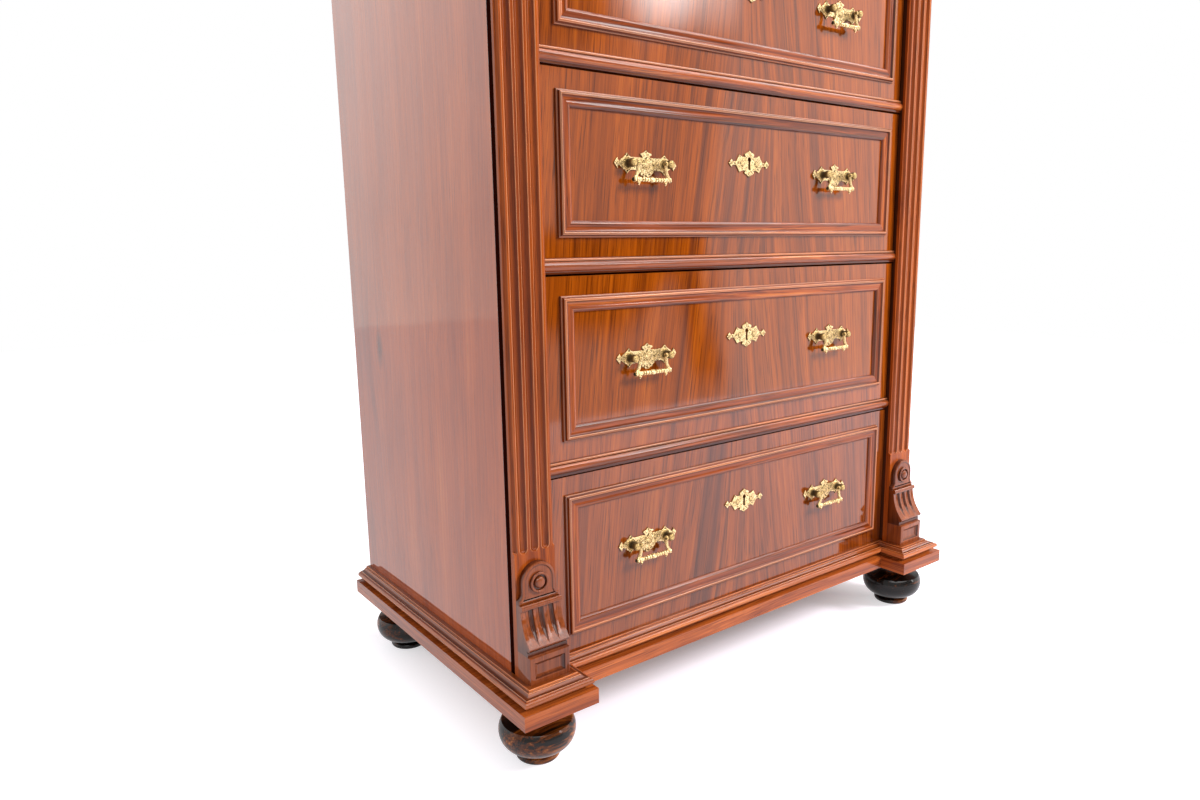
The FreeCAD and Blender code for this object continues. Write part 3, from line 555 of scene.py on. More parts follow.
# Upright, carved, long moulded and moulded walnut take painted shade in hollows and painted highlights on
# arrises, by their fourth weight.
walnut_upright = wood("upright walnut", "Z", UPRIGHT_WALNUT, 0.5, 0.4, 0.5, 0.85, 0.22, spread=0.28)
walnut_carved = wood("carved walnut", "Z", CARVED_WALNUT, 0.4, 0.3, 0.6, 0.8, 0.6, spread=0.3)
walnut_level = wood("level walnut", "ROUND", LEVEL_WALNUT, 0.5, 0.5, 0.4, polish=0.5, spread=0.25)
walnut_run = wood("long moulded walnut", "MAP", LEVEL_WALNUT, 0.5, 0.5, 0.4, 0.75, 0.5, spread=0.25)
walnut_trim = wood("moulded walnut", "MAP", TRIM_WALNUT, 0.5, 0.5, 0.4, 0.8, 0.65)
walnut_top = wood("top walnut", "X", WALNUT, 0.45, 0.5)
walnut_foot = wood("dark polished foot", "X", FOOT_WALNUT, 0.3, 0.35, 0.6, polish=0.35, cloudy=0.45)
pine_level = wood("level pine", "X", PINE, 0.2, 0.3, polish=0.0)
pine_deep = wood("front to back pine", "ROUND", PINE, 0.2, 0.3, polish=0.0)
pine_run = wood("long pine boards", "MAP", PINE, 0.2, 0.3, polish=0.0)


def dull_steel():
    """Grey metal, duller in soft blotches and finely pitted."""
    recipe = Recipe("dull steel")
    place = recipe.add("TexCoord").outputs["Object"]
    blotch = recipe.noise(place, 160.0, 4.0, 0.6)
    pits = recipe.noise(place, 900.0, 2.0)
    mask = recipe.span(blotch, 0.48, 0.66, 0.0, 0.7)
    recipe.bump(recipe.sum("ADD", blotch, recipe.times(pits, 0.3)), 0.0004, 0.6)
    return recipe.set(Base_Color=recipe.blend(mask, seen((176, 172, 166)), seen((92, 84, 78))),
                      Metallic=0.9, Roughness=recipe.span(mask, 0.0, 1.0, 0.38, 0.68))


def chased_brass():
    """Pale old brass: engraved lines that follow a swirling noise, dark in the hollows."""
    recipe = Recipe("chased brass")
    place = recipe.add("UVMap", uv_map="map").outputs[0]
    swirl = recipe.noise(place, 240.0, 2.0, 0.5, 1.2)
    cut = recipe.span(recipe.off(swirl, 0.5), 0.012, 0.055, 0.85, 0.0)
    stain = recipe.span(recipe.noise(place, 110.0, 3.0), 0.50, 0.72, 0.0, 0.5)
    deep = recipe.attribute("grime")
    mask = recipe.sum("MAXIMUM", recipe.sum("MAXIMUM", cut, stain), deep)
    colour = recipe.ramp(mask, ((0.0, (246, 216, 164)), (0.35, (208, 176, 116)), (0.7, (112, 88, 48)),
                                (1.0, (46, 40, 26))))
    recipe.bump(recipe.sum("SUBTRACT", 1.0, cut), 0.0005, 0.8)
    return recipe.set(Base_Color=colour, Metallic=0.85, Roughness=recipe.span(mask, 0.0, 1.0, 0.36, 0.6))


brass = chased_brass()
steel = dull_steel()

# Finishes by kind of solid; level walnut where none is named
FINISHES = {"side_panels": walnut_side, "front_posts": walnut_painted_shade, "capitals": walnut_upright,
            "top_board": walnut_top, "runners": pine_deep, "drawer_stops": pine_level,
            "box": pine_deep, "bottom": pine_level, "lock": steel, "bolt": steel}
for name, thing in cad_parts.items():
    kind = name.split("_", 2)[2] if name.startswith("drawer_") and name[7].isdigit() else name
    for material_slot in thing.material_slots:
        material_slot.material = veneers.get(name) or FINISHES.get(kind, walnut_level)


# Mouldings

def breakfront(projection, z):
    """The line round the body from its back left corner to its back right corner, all at one height."""
    near = RAIL_FACE - projection
    half = [(HALF_BODY, BACK), (HALF_BODY, near), (HALF_OPENING, near), (HALF_OPENING, RAIL_FACE)]
    return [(-x, y, z) for x, y in half] + [(x, y, z) for x, y in half[::-1]]


def plinth_moulding():
    """The moulding on the base board: a groove over the fascia, a nose, a cove and a top fillet, as
    points (outwards, up) carried round the body."""
    steps = [(0, 0), (13, 0), (13, 5), (19, 5), ((22, 9), (19, 13)), (17.4, 13), (17.4, 14.4),
             ((12, 15), (9.4, 17.8)), (7, 17.8), (7, 20.5), (0, 20.5)]
    clay = moulding(Clay(), breakfront(PLINTH_STEP, BASE_TOP), (0, 0, 1), eased(outline(steps)), 0)
    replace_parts(clay.piece("plinth_run", walnut_run, "carcass", "walnut_solid"), "plinth_moulding")


def cornice_moulding():
    """The cove moulding round the top of the body, stepping forward over the capitals."""
    steps = [(0, 0), (3, 0), ((5.5, 2.5), (3, 5)), (5, 7), ((8, 20), (18, 25)), (20, 25),
             (20, CORNICE_HEIGHT), (0, CORNICE_HEIGHT)]
    path = breakfront(CORNICE_STEP, CORNICE_BOTTOM)
    clay = moulding(Clay(), path, (0, 0, 1), eased(outline(steps)), 0, seed=1)
    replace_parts(clay.piece("cornice_run", walnut_run, "carcass", "walnut_solid"), "cornice_moulding")


def rail_mouldings():
    """The half-round moulding on each rail: a step, the nose and a bead at the top."""
    steps = [(0, 0), (5.5, 0), (5.5, 3), (6.5, 4), ((9.5, 9.5), (6.5, 15)), (4.5, 15),
             ((6, 17.5), (3.5, 19.5)), (0, 19.5)]
    clay = Clay()
    for place, (_, high) in enumerate(DRAWERS[:-1]):
        path = [(x, RAIL_FACE, high + RAIL_RISE) for x in (-HALF_OPENING, HALF_OPENING)]
        # The lowest 3.4 mm of each rail moulding is painted dark as the shadow over the gap above the drawer
        # below.
        moulding(clay, path, (0, 0, 1), eased(outline(steps)), 0, seed=2 + place, painted_shadow_below=3.4)
    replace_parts(clay.piece("rail_runs", walnut_trim, "carcass", "walnut_solid"), "rail_mouldings")


def drawer_frame(number, low, high):
    """The applied frame: four mitred lengths of a stepped and beaded moulding, its ridge outwards."""
    steps = [(0, 0), (0, 2), ((0.6, 3.2), (1.8, 3.6)), (2.6, 5.2), ((4.8, 7.5), (7, 5.6)), (7.6, 4.4),
             ((11, 3.9), (14.6, 4.4)), ((18.4, 3.7), (20.5, 0.8)), (20.5, 0)]
    x, z0, z1 = HALF_FRONT - FRAME_SIDE, low + FRAME_END, high - FRAME_END
    path = [(-x, DRAWER_FACE, z0), (-x, DRAWER_FACE, z1), (x, DRAWER_FACE, z1), (x, DRAWER_FACE, z0)]
    clay = moulding(Clay(), path, (0, -1, 0), eased(outline(steps), 0.25), 1, closed=True, seed=10 + number)
    body = "drawer_%d" % number
    piece = clay.piece(body + "_framing", walnut_trim, body, "walnut_solid")
    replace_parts(piece, body + "_frame")


def back_boards():
    """Three upright boards with eased edges, each with a grain of its own."""
    reach = HALF_BODY - REBATE
    width = 2 * reach / 3
    section = eased(outline([(0, 0), (0, REBATE), (width, REBATE), (width, 0)]), 1.5)
    clay = Clay()
    for place in range(3):
        x = reach - width * place
        path = [(x, BACK - REBATE, BASE_TOP), (x, BACK - REBATE, CORNICE_BOTTOM + CORNICE_HEIGHT)]
        moulding(clay, path, (0, 1, 0), section, 1, seed=30 + place)
    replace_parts(clay.piece("back_planks", pine_run, "carcass", "pine"), "back_boards")


plinth_moulding()
cornice_moulding()
back_boards()
rail_mouldings()
for number, (low, high) in enumerate(DRAWERS, 1):
    drawer_frame(number, low, high)


# Pilasters and corbels

def pilaster_depth(x, z):
    """How deep the flutes are cut at each x and z: the part of a cylinder, and at the flute's ends of a
    sphere, that lies behind the shaft's face."""
    radius = (FLUTE_WIDTH ** 2 / 4 + FLUTE_DEPTH ** 2) / (2 * FLUTE_DEPTH)
    hollows = [(PILASTER_MIDDLE + FLUTE_PITCH * place, radius - FLUTE_DEPTH, radius) for place in (-1, 0, 1)]
    hollows += [(HALF_OPENING, 0.0, ARRIS_HOLLOW), (HALF_BODY, 0.0, ARRIS_HOLLOW)]
    low, high = FLUTE_ENDS
    beyond = np.maximum(np.maximum(low - z, z - high), 0)
    cuts = [np.sqrt(np.maximum(size ** 2 - (x - at) ** 2 - beyond ** 2, 0)) - ahead
            for at, ahead, size in hollows]
    return np.maximum(np.max(cuts, axis=0), 0)


def pilasters():
    """Each pilaster: its section has fine steps across the front, and its rows lie close together where
    the flutes end in round stops."""
    clay = Clay()
    low, high = FLUTE_ENDS
    reach = FLUTE_WIDTH / 2 * np.sin(np.linspace(0, np.pi / 2, 9))
    rows = np.concatenate([[BASE_TOP], low - reach[::-1], np.linspace(low, high, 40)[1:-1], high + reach,
                           [CORNICE_BOTTOM]])
    hollow = np.array([0, 0.15, 0.5, 1.1]) * ARRIS_HOLLOW
    across = np.concatenate([HALF_OPENING + hollow, np.arange(HALF_OPENING + 5.2, HALF_BODY - 5, 0.7),
                             HALF_BODY - hollow[::-1]])
    for side in (-1, 1):
        x, z = np.meshgrid(across, rows)
        depth = pilaster_depth(x, z)
        front = joined(side * x, SHAFT_FACE + depth, z)
        rear = [joined(side * x[:, i], GROOVE_FRONT, rows)[:, None] for i in (-1, 0)]
        # Painted shade in the flutes and painted highlights on their arrises; the back columns get none.
        edges = [arris(joined(across, -line), -1) for line in depth]
        grime = np.stack([0.85 * shelter(-line, across) - edge for line, edge in zip(depth, edges)])
        grime = np.concatenate([grime, np.zeros((len(rows), 2))], axis=1)
        clay.grid(np.concatenate([front, *rear], axis=1), grime=grime)
    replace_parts(clay.piece("fluted_pilasters", walnut_upright, "carcass", "walnut_solid"), "pilasters")


def nested(clay, outline_points, levels, grime):
    """A raised or sunk form: one outline in (x, z), drawn in by each level's inset and set at its y."""
    points = np.asarray(outline_points, float)
    rings = []
    for inset, y in levels:
        flat = points + inset * inward(points)
        rings.append(joined(flat[:, 0], y, flat[:, 1]))
    return clay.grid(np.stack(rings), grime=np.array(grime, float)[:, None])


def corbel_scroll(clay, side):
    """The concave front between bar and lip, with grooves cut along its normals. A groove is widest at
    the top, closes to a point near the lip and is deepest in its middle."""
    near, far = 9.0, 28.5
    high, low = CORBEL_BAR[0], CORBEL_BLOCK_TOP + 12
    t = np.linspace(0, 1, 30)
    curve = joined(near + (far - near) * (0.30 * t + 0.70 * t ** 2.6), high + (low - high) * t)
    bend = np.linspace(0.1, 1, 7) * np.pi * 0.75
    lip = joined(far - 4.5 + 4.5 * np.cos(bend), low - 4.5 * np.sin(bend))
    under = CORBEL_BLOCK_TOP
    rest = np.array([(far - 5, under + 5), (far - 5, under), (0, under), (0, high)])
    ring = np.concatenate([curve, lip, rest])
    slope = unit(np.gradient(curve, axis=0))
    into = joined(slope[:, 1], -slope[:, 0])
    wide = 3.6 * np.minimum(1, np.maximum(0.97 - t, 0) / 0.42) ** 0.7
    across = np.arange(HALF_OPENING, HALF_BODY + 0.1, PILASTER_WIDTH / 84)
    cut = np.zeros((len(across), len(curve)))
    for place in (-1, 0, 1):
        off = np.abs(across - PILASTER_MIDDLE - FINGER_PITCH * place)[:, None] / np.maximum(wide, 1e-6)
        cut = np.maximum(cut, np.sqrt(np.clip(1 - off ** 2, 0, 1)) * np.minimum(wide, 3.2))
    ridges = np.abs(np.sin(np.pi * (across - PILASTER_MIDDLE) / FINGER_PITCH + np.pi / 2))
    crown = 0.8 * ridges[:, None] * (1 - t)
    rows = np.repeat(ring[None], len(across), axis=0)
    rows[:, :len(curve)] += (cut - crown)[..., None] * into
    points = joined(side * across[:, None], SHAFT_FACE - rows[..., 0], rows[..., 1])
    # The grooves are painted dark as shade by their depth, and the lip's underside and the back are painted
    # dark as shade.
    grime = np.zeros((len(across), len(ring)))
    grime[:, :len(curve)] = np.clip(cut / 2.2, 0, 1)
    grime[:, len(curve) + 5:] = 0.9
    clay.grid(points, grime=grime)


def corbel_arch(clay, side):
    """The arched plate with spreading feet, its boss and the bar under it."""
    middle = side * PILASTER_MIDDLE
    half = PILASTER_WIDTH / 2
    crown = CORBEL_TOP - ARCH_RADIUS
    foot = CORBEL_BAR[1]
    steps = [(-half, foot), (half, foot), (half, foot + 5), ((half - 4, foot + 9), (ARCH_RADIUS, foot + 16)),
             (ARCH_RADIUS, crown), ((0, CORBEL_TOP), (-ARCH_RADIUS, crown)), (-ARCH_RADIUS, foot + 16),
             ((-half + 4, foot + 9), (-half, foot + 5))]
    shape = outline(steps, 15) + (middle, 0)
    levels = [(0, SHAFT_FACE), (0, SHAFT_FACE - 6.4), (0.5, SHAFT_FACE - 7.5), (1.6, SHAFT_FACE - 8),
              (3.6, SHAFT_FACE - 8), (4.4, SHAFT_FACE - 7.2), (6, SHAFT_FACE - 7.2)]
    # The plate's sides and the step down into its sunk middle are painted dark as shade.
    nested(clay, shape, levels, (1, 0.7, 0.1, 0, 0.2, 0.8, 0))
    boss = [(13.5, 0), (13.5, 2.6), ((12.8, 3.6), (11.6, 3.7)), ((10.4, 3.5), (9.9, 2.4)), (9.4, 0.6),
            (7.6, 0.4), ((6.8, 3.6), (3.6, 5.2)), (0.4, 5.7)]
    profile = outline(boss, 5)
    # The boss's groove and the foot of its rim are painted dark as shade.
    boss_groove_shade = np.interp(profile[:, 0], (0, 7, 8, 9.6, 10.6, 13.2, 13.5), (0, 0.2, 1, 1, 0, 0, 0.8))
    turned(clay, profile, (middle, SHAFT_FACE - 7, crown - 2), (0, -1, 0), 40, boss_groove_shade)
    low, high = CORBEL_BAR
    section = outline([(0, low), (9, low), (9, low + 0.8), ((13.4, low + 1.6), (13.2, low + 4)),
                       ((12.6, high), (9.5, high)), (0, high)], 6)
    ends = [joined(middle + way * half, SHAFT_FACE - section[:, 0], section[:, 1]) for way in (-1, 1)]
    # The parts of the bar within 9 mm of the shaft's face are painted dark as shade.
    clay.grid(np.stack(ends), grime=np.where(section[:, 0] < 8.9, 0.8, 0.0))


def corbel_block(clay, side):
    """The block under the scroll, with a bevelled panel sunk into its face."""
    x0, x1 = side * HALF_OPENING, side * HALF_BODY
    z0, z1 = FIRST_LEVEL - 1, CORBEL_BLOCK_TOP
    corners = [(x0, z0), (x1, z0), (x1, z1), (x0, z1)]
    levels = [(0, SHAFT_FACE)] + [(inset, BLOCK_FACE + depth) for inset, depth in (
        (0, 1), (0.3, 0.3), (1, 0), (7, 0), (7.5, 0.3), (7.7, 1.4), (11.5, 3.6))]
    # The sunk panel's bevel is painted dark as shade, and its floor a little.
    nested(clay, corners, levels, (0, 0, 0, 0, 0, 0.3, 1, 0.2))


def corbels():
    """A carved corbel under each pilaster: block, scroll and arched plate in one mesh."""
    clay = Clay()
    for side in (-1, 1):
        corbel_block(clay, side)
        corbel_scroll(clay, side)
        corbel_arch(clay, side)
    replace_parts(clay.piece("carved_corbels", walnut_carved, "carcass", "walnut_solid", 30), "corbels")


pilasters()
corbels()


# Brasses

def halves(right_half, half_length, half_height):
    """A whole outline from the shares that give its right half, from the top middle to the bottom."""
    points = np.array(right_half, float) * (half_length, half_height)
    return np.concatenate([points, (points * (-1, 1))[-2:0:-1]])


def ring_at(x, z, radius, count=10):
    """A circle of points at even angles round (x, z)."""
    angle = circle(count)
    return joined(x + radius * np.cos(angle), z + radius * np.sin(angle))


def shell(clay, x, z, radius, height, lobes, base):
    """A low dome: at a share s of the radius it rises by the root of 1 - s * s. A cosine wave round its
    middle, of as many lobes, swells and sinks both its reach and its rise."""
    share = np.linspace(1, 0.04, 8)[:, None]
    angle = circle(6 * lobes)
    wave = np.cos(lobes * angle)
    reach = radius * share * (1 + 0.05 * wave)
    rise = height * np.sqrt(1 - share ** 2) * (1 + 0.22 * wave * np.sqrt(share))
    points = joined(x + reach * np.cos(angle), base - rise, z + reach * np.sin(angle))
    grime = np.clip(0.5 - 0.55 * wave, 0, 1) * share
    clay.grid(points, grime=grime)


def pull_plate(clay, x, z):
    """The crowned plate of a pull, its shell, leaves and two turned posts. The plate's right half is
    points in shares of its half length and half height, and the left half mirrors it."""
    crown = [(0, 0.97), (0.05, 0.84), (0.10, 0.77), (0.17, 0.73), (0.18, 0.63), (0.12, 0.53), (0.13, 0.44)]
    wing = [(0.48, 0.44), (0.54, 0.54), (0.60, 0.71), (0.65, 0.54), (0.73, 0.37), (0.82, 0.21)]
    arrow = [(0.84, 0.13), (0.87, 0.14), (0.90, 0.38), (0.95, 0.20), (1, 0), (0.95, -0.20), (0.90, -0.38),
             (0.87, -0.14), (0.84, -0.13)]
    shield = [(0.24, -0.44), (0.24, -0.59), (0.18, -0.67), (0.17, -0.81), (0.10, -0.83), (0.07, -0.94),
              (0, -1)]
    edge = halves(crown + wing + arrow + [(a, -b) for a, b in reversed(wing)] + shield, 52.0, 18.0)
    pairs = ((POST_OFFSET, 9.4), (POST_OFFSET, -9.4), (4.7, -13))
    holes = [(0, 14.4), (0, -15.5)] + [(way * a, b) for way in (-1, 1) for a, b in pairs]
    loops = [edge + (x, z)] + [ring_at(x + a, z + b, 1.1) for a, b in holes]
    face = DRAWER_FACE - PLATE_THICKNESS
    clay.pierced(loops, (x, z), DRAWER_FACE, face)
    shell(clay, x, z, 7.5, 1.2, 14, face)
    for way in (-1, 1):
        for off, size in ((12.5, 3.4), (18.5, 2.6)):
            shell(clay, x + way * off, z + 1.5, size, 0.7, 7, face)
        shell(clay, x + way * 46.5, z, 2.2, 0.8, 5, face)
        post = outline([(8, 0), (8, 2.2), (7.2, 3), (6.4, 2.6), (5.4, 3.2), (4.6, 4.4), (4.3, 8.2), (5, 9.4),
                        ((5.5, 12.8), (5, 16)), ((3.6, 17.7), (0.4, 18))], 5)
        dull = np.interp(post[:, 1], (0, 2.2, 3.4, 9, 15, 18), (0.2, 0.1, 0.9, 0.95, 0.75, 0.35))
        turned(clay, post, (x + way * POST_OFFSET, DRAWER_FACE, z), (0, -1, 0), 28, dull)


def escutcheon(clay, x, z):
    """The keyhole plate with its cusped corners, leaved points and pierced arrow ends: a quarter of the
    outline, mirrored twice. The keyhole is most of a circle over a straight slot."""
    quarter = [(0, 1), (0.08, 0.86), (0.16, 0.80), (0.23, 0.72), (0.23, 0.59), (0.18, 0.51), (0.31, 0.50),
               (0.41, 0.55), (0.49, 0.65), (0.52, 0.51), (0.60, 0.27), (0.64, 0.14), (0.72, 0.14),
               (0.81, 0.12), (0.86, 0.30), (0.93, 0.16), (1, 0)]
    edge = halves(quarter + [(a, -b) for a, b in reversed(quarter[:-1])], 41.0, 18.5)
    head = np.linspace(-0.32, 1.32, 12) * np.pi
    key = joined(3.3 * np.cos(head), KEYHOLE_RISE + 3.3 * np.sin(head))
    slot = [(-1.7, KEYHOLE_RISE - 14), (1.7, KEYHOLE_RISE - 14)]
    loops = [edge, np.concatenate([key, slot]), ring_at(-29.1, 0, 1.1), ring_at(29.1, 0, 1.1)]
    face = DRAWER_FACE - PLATE_THICKNESS
    clay.pierced([loop + (x, z) for loop in loops], (x, z), DRAWER_FACE, face)
    for way in (-1, 1):
        shell(clay, x + way * 14.5, z, 4.6, 0.7, 9, face)
        shell(clay, x + way * 36, z, 1.9, 0.6, 5, face)
        shell(clay, x, z + way * 13.8, 2.3, 0.6, 5, face)


def tube(clay, path, radii, count=16, grime=0.0):
    """A round bar: at each point of the path, a circle of the radius there, square to the path. The path
    stays in a plane across Y."""
    path = np.asarray(path, float)
    ahead = unit(np.gradient(path, axis=0))
    side = np.cross(ahead, (0, 1, 0))
    angle = circle(count)[:, None]
    spoke = np.cos(angle) * side[:, None] + np.sin(angle) * np.array((0, 1.0, 0))
    clay.grid(path[:, None] + np.reshape(radii, (-1, 1, 1)) * spoke, grime=np.reshape(grime, (-1, 1)))


def bail(clay, x, z):
    """A hanging bail: eyes and pins, arms that curve outwards with the square of the way down, a bar and
    two drops. The bar's radius is a sine wave for its leaves and bell curves for its beads and knob."""
    y, bar = DRAWER_FACE - BAIL_REACH, z - BAIL_DROP
    along = np.linspace(-33, 33, 133)
    knob = np.exp(-((np.abs(along) - 29.6) / 1.5) ** 2) + 1.2 * np.exp(-(along / 2.2) ** 2)
    knob += np.exp(-((np.abs(along) - BAIL_DROPLET) / 1.3) ** 2)
    radii = 2.5 + 0.55 * np.abs(np.sin(along * np.pi / 4.4)) + 0.9 * knob
    radii = radii * np.clip((33.3 - np.abs(along)) / 2.6, 0.05, 1) ** 0.6
    hollow = np.clip((2.9 - radii) * 2.5, 0, 1)
    tube(clay, joined(x + along, y, bar), np.minimum(radii, 3.7), grime=hollow)
    for way in (-1, 1):
        ear, turn = way * 23.3, np.linspace(0, 1, 14)
        arm = np.array([(ear, z), (ear, z - 4.0)])
        arm = np.concatenate([arm, joined(ear + way * 6.5 * turn ** 2, z - 7.2 - 13.3 * turn)])
        arm = joined(x + arm[:, 0], y, arm[:, 1])
        tube(clay, arm, np.interp(arm[:, 2] - z, (-BAIL_DROP, -12, 0), (2.7, 2.4, 2.2)), grime=0.15)
        for start, end, size in ((21.3, 25.3, 3.4), (25.0, 28.5, 1.4)):
            line = joined(x + way * np.linspace(start, end, 4), y, z)
            tube(clay, line, np.array((0.85, 1, 1, 0.85)) * size, 24, 0.4)
        drop = outline([(2.3, 0), (2.2, 2.2), (3, 3.2), (2.2, 4.4), (0.5, 7)], 4)
        turned(clay, drop, (x + way * BAIL_DROPLET, y, bar), (0, 0, -1), 16, 0.1)


def brasses(number, low, high):
    """A drawer's plates, and its two bails hanging from their posts."""
    body, height = "drawer_%d" % number, (low + high) / 2 + PULL_RISE
    clay = Clay()
    for side in (-1, 1):
        pull_plate(clay, side * PULL_OFFSET, height)
    escutcheon(clay, 0, high - PLATE_DROP)
    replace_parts(clay.piece(body + "_brasses", brass, body, "brass", 40), body + "_plates")
    for side, word in ((-1, "left"), (1, "right")):
        clay = Clay()
        bail(clay, side * PULL_OFFSET, height)
        name = body + "_bail_" + word
        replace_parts(clay.piece(name + "_cast", brass, name, "brass", 40), name)


for number, (low, high) in enumerate(DRAWERS, 1):
    brasses(number, low, high)


# Feet

def feet():
    """Turned bun feet: (radius, height) points carried round each foot's middle, from a small base and a
    quirk to a flat-topped bun, its collared neck and the dowel."""
    steps = [(26, 0), ((29, 4), (27, 8)), (24, 11), (30, 13), ((45, 23), (50, 36)), ((49.6, 44), (46, 52)),
             (28, 56), ((24, 62), (25, 69)), ((29, 72), (26, 75)), (26, 78), (12, 78), (12, 92)]
    profile = outline(steps, 13)
    clay = Clay()
    for x, y in FEET:
        turned(clay, profile, (x, y, 0))
    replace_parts(clay.piece("bun_feet", walnut_foot, "carcass", "walnut_dark"), "feet")


feet()


# Floor, light and camera

def placed(x, y, z, place):
    """The matrix whose columns are three directions and a place."""
    return Matrix([[float(v[row]) for v in (x, y, z, place)] for row in range(3)] + [[0, 0, 0, 1]])


def stage():
    """A pale floor that keeps the chest's shadow. The camera sees a glow added to it, which grows with
    the distance from the chest until the floor is pure white. The polish mirrors a stronger glow, but
    none to the right rear, nor straight behind, where x past the side is under a third of y."""
    floor = bpy.data.meshes.new("floor")
    left, right, near, far = -5.0, 5.0, -1.9, 6.0
    corners = [(left, near, 0), (right, near, 0), (right, far, 0), (left, far, 0)]
    floor.from_pydata(corners, [], [(0, 1, 2, 3)])
    plain = Recipe("pale floor")
    lit = plain.add("BsdfDiffuse", {"Color": seen((208, 202, 214))}).outputs[0]
    place = plain.split(plain.add("TexCoord").outputs["Object"])
    half_width, middle, half_depth = 0.44, 0.01, 0.26
    beside = plain.sum("SUBTRACT", plain.sum("ABSOLUTE", place[0]), half_width)
    ahead = plain.sum("SUBTRACT", plain.off(place[1], middle), half_depth)
    glow = plain.span(plain.sum("MAXIMUM", beside, ahead), -0.16, 0.07, 0.16, 1.0)
    past = plain.sum("MAXIMUM", plain.sum("SUBTRACT", place[1], 0.27), 0.01)
    aside = plain.sum("DIVIDE", plain.sum("SUBTRACT", plain.sum("ABSOLUTE", place[0]), 0.41), past)
    dim = plain.sum("MAXIMUM", plain.span(place[0], 0.4, 0.5), plain.span(aside, 0.36, 0.27))
    dim = plain.times(dim, plain.span(place[1], 0.2, 0.5))
    rays = plain.add("LightPath").outputs
    direct = plain.sum("MULTIPLY_ADD", rays["Is Glossy Ray"], plain.span(dim, 0.0, 1.0, 1.2, 0.0),
                       rays["Is Camera Ray"])
    glow = plain.times(direct, glow)
    shine = plain.add("Emission", {"Color": (1, 1, 1, 1), "Strength": glow}).outputs[0]
    both = plain.add("AddShader", {0: lit, 1: shine}).outputs[0]
    plain.give(plain.tree.nodes["Material Output"], "Surface", both)
    floor.materials.append(plain.material)
    ground = in_scene("floor", floor)


def lamp(name, place, aim, width, height, power):
    """A soft lamp that looks at a point: its back is the direction from there, its side is level."""
    light = bpy.data.lights.new(name, "AREA")
    light.shape, light.size, light.size_y, light.energy = "RECTANGLE", width, height, power
    thing = in_scene(name, light)
    back = unit(np.subtract(place, aim))
    side = unit(np.cross((0, 0, 1), back))
    over = np.cross(back, side)
    thing.matrix_world = placed(side, over, back, place)
    thing.visible_glossy = False


def cleared(room, heading, rise):
    """Where the mirrored room is dark, from 0 to 1: the upper left, a gap above the floor's far edge,
    and a narrow post that leans."""
    floor_edge = room.sum("SUBTRACT", rise, room.span(heading, 38.0, 41.5, -6.0, -2.4))
    gap = room.times(room.span(floor_edge, -1.0, 1.0), room.span(rise, 1.8, 0.8),
                     room.span(heading, 44.4, 43.9), room.span(heading, 24.0, 31.0))
    lean = room.sum("MULTIPLY_ADD", rise, 0.11, heading)
    post = room.times(room.span(room.off(lean, 43.2), 1.4, 0.8), room.span(rise, -11.0, -8.0),
                      room.span(rise, 1.8, 0.8))
    shade = room.times(room.span(rise, 11.0, 13.5, 0.0, 0.8), room.span(heading, 39.5, 37.5),
                       room.span(heading, -30.0, 0.0))
    return room.sum("MAXIMUM", shade, room.sum("MAXIMUM", gap, post))


def glowing(room, heading, rise):
    """What shines in the mirrored room: a window to the right front, and a band of the ceiling."""
    window = room.times(room.span(room.off(heading, 41.8), 4.5, 0.5, 0.0, 16.0),
                        room.span(rise, 13.0, 16.0), room.span(rise, 40.0, 30.0))
    ceiling = room.times(room.span(room.off(heading, 20.0), 70.0, 90.0, 8.0, 0.0),
                         room.span(rise, 31.0, 36.0), room.span(rise, 70.0, 62.0))
    return room.sum("ADD", window, ceiling)


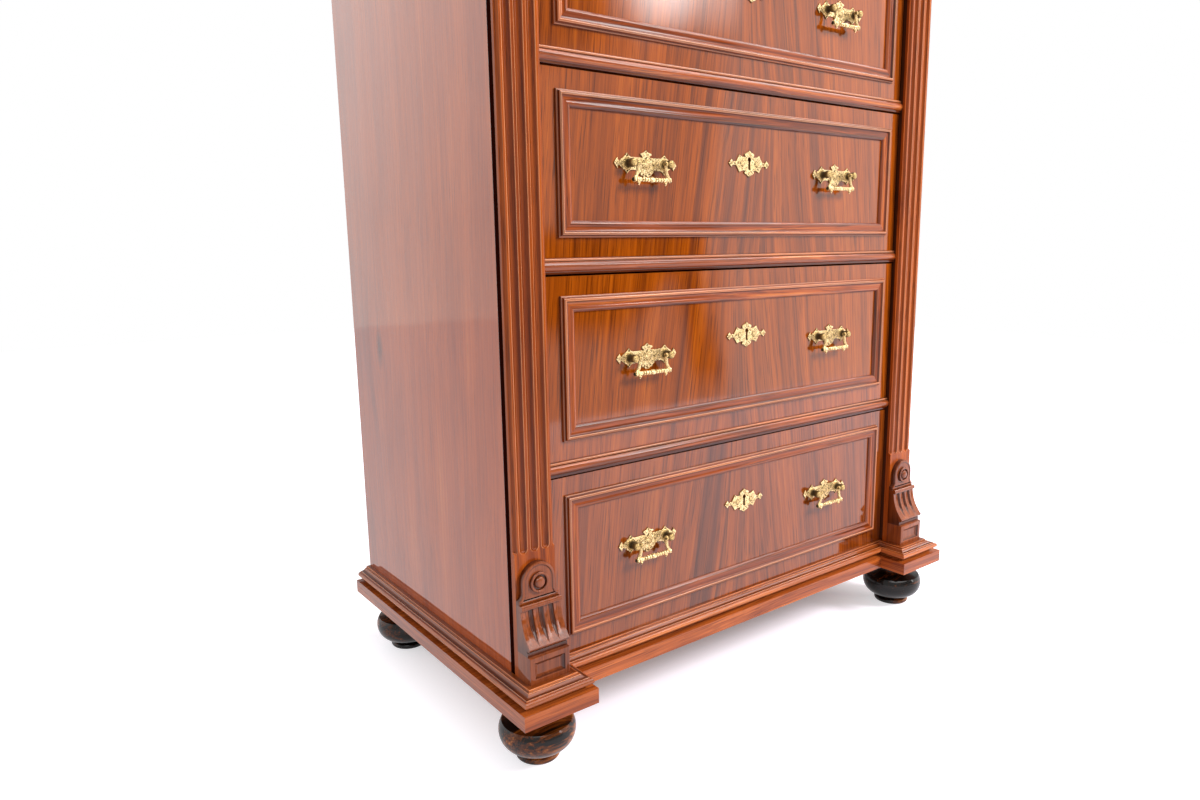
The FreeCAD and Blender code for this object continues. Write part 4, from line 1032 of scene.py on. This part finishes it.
def surround():
    """White where the camera sees it. The polish mirrors a bright wall to the right front, a dimmer room
    to the left front and a bright haze to the left rear, with dark and shining parts among them. The
    heading is measured from straight in front, in degrees to the right, and the rise from level."""
    room = Recipe("studio", "worlds", "Background")
    bpy.context.scene.world = room.material
    parts = room.split(room.add("TexCoord").outputs["Generated"])
    ahead = room.times(parts[1], -1.0)
    heading = room.times(room.sum("ARCTAN2", parts[0], ahead), 180 / np.pi)
    rise = room.times(room.sum("ARCSINE", parts[2]), 180 / np.pi)
    turned_away = room.sum("ABSOLUTE", heading)
    corner, flank = (43.6, 45.5), (80.0, 105.0)
    rays = room.add("LightPath").outputs
    diffuse = room.sum("MAXIMUM", room.span(heading, *corner, 0.5, 1.05), room.span(turned_away, *flank))
    wall = room.sum("MINIMUM", room.span(heading, *corner, 1.1, 2.1),
                    room.span(turned_away, *flank, 2.1, 0.8))
    haze = room.times(room.span(heading, -80.0, -105.0), room.span(heading, -168.0, -163.0),
                      room.span(rise, 2.0, 22.0, 1.9, 2.55))
    clear = room.sum("SUBTRACT", 1.0, cleared(room, heading, rise))
    mirrored = room.times(room.sum("MAXIMUM", wall, haze), clear)
    mirrored = room.sum("ADD", mirrored, glowing(room, heading, rise))
    light = room.choose(rays["Is Glossy Ray"], diffuse, mirrored)
    light = room.times(light, room.span(rise, 25.0, 60.0, 1.0, 0.5))
    room.give(room.shader, "Color", (1, 1, 1, 1))
    room.give(room.shader, "Strength", room.choose(rays["Is Camera Ray"], light, 1.0))


def camera():
    """The photograph's view: ahead comes from the heading and the tilt, level is square to the heading
    and below to both, and the roll turns level and below about ahead."""
    turn, tilt, roll = np.radians((TURN, TILT, ROLL))
    ahead = np.array((np.sin(turn) * np.cos(tilt), np.cos(turn) * np.cos(tilt), -np.sin(tilt)))
    level = np.array((np.cos(turn), -np.sin(turn), 0))
    below = np.cross(ahead, level)
    right = np.cos(roll) * level - np.sin(roll) * below
    down = np.sin(roll) * level + np.cos(roll) * below
    lens = bpy.data.cameras.new("camera")
    lens.sensor_width, lens.lens, lens.sensor_fit = FILM, LENS, "HORIZONTAL"
    thing = in_scene("camera", lens)
    thing.matrix_world = placed(right, -down, -ahead, STATION)
    bpy.context.scene.camera = thing


stage()
surround()
lamp("key", (1.75, -2.35, 2.3), (0.0, -0.2, 0.4), 0.8, 1.1, 150)
lamp("fill", (-2.6, -1.2, 1.9), (-0.3, 0.0, 0.6), 2.0, 2.0, 12)
camera()
bpy.context.scene.view_settings.view_transform = "Standard"
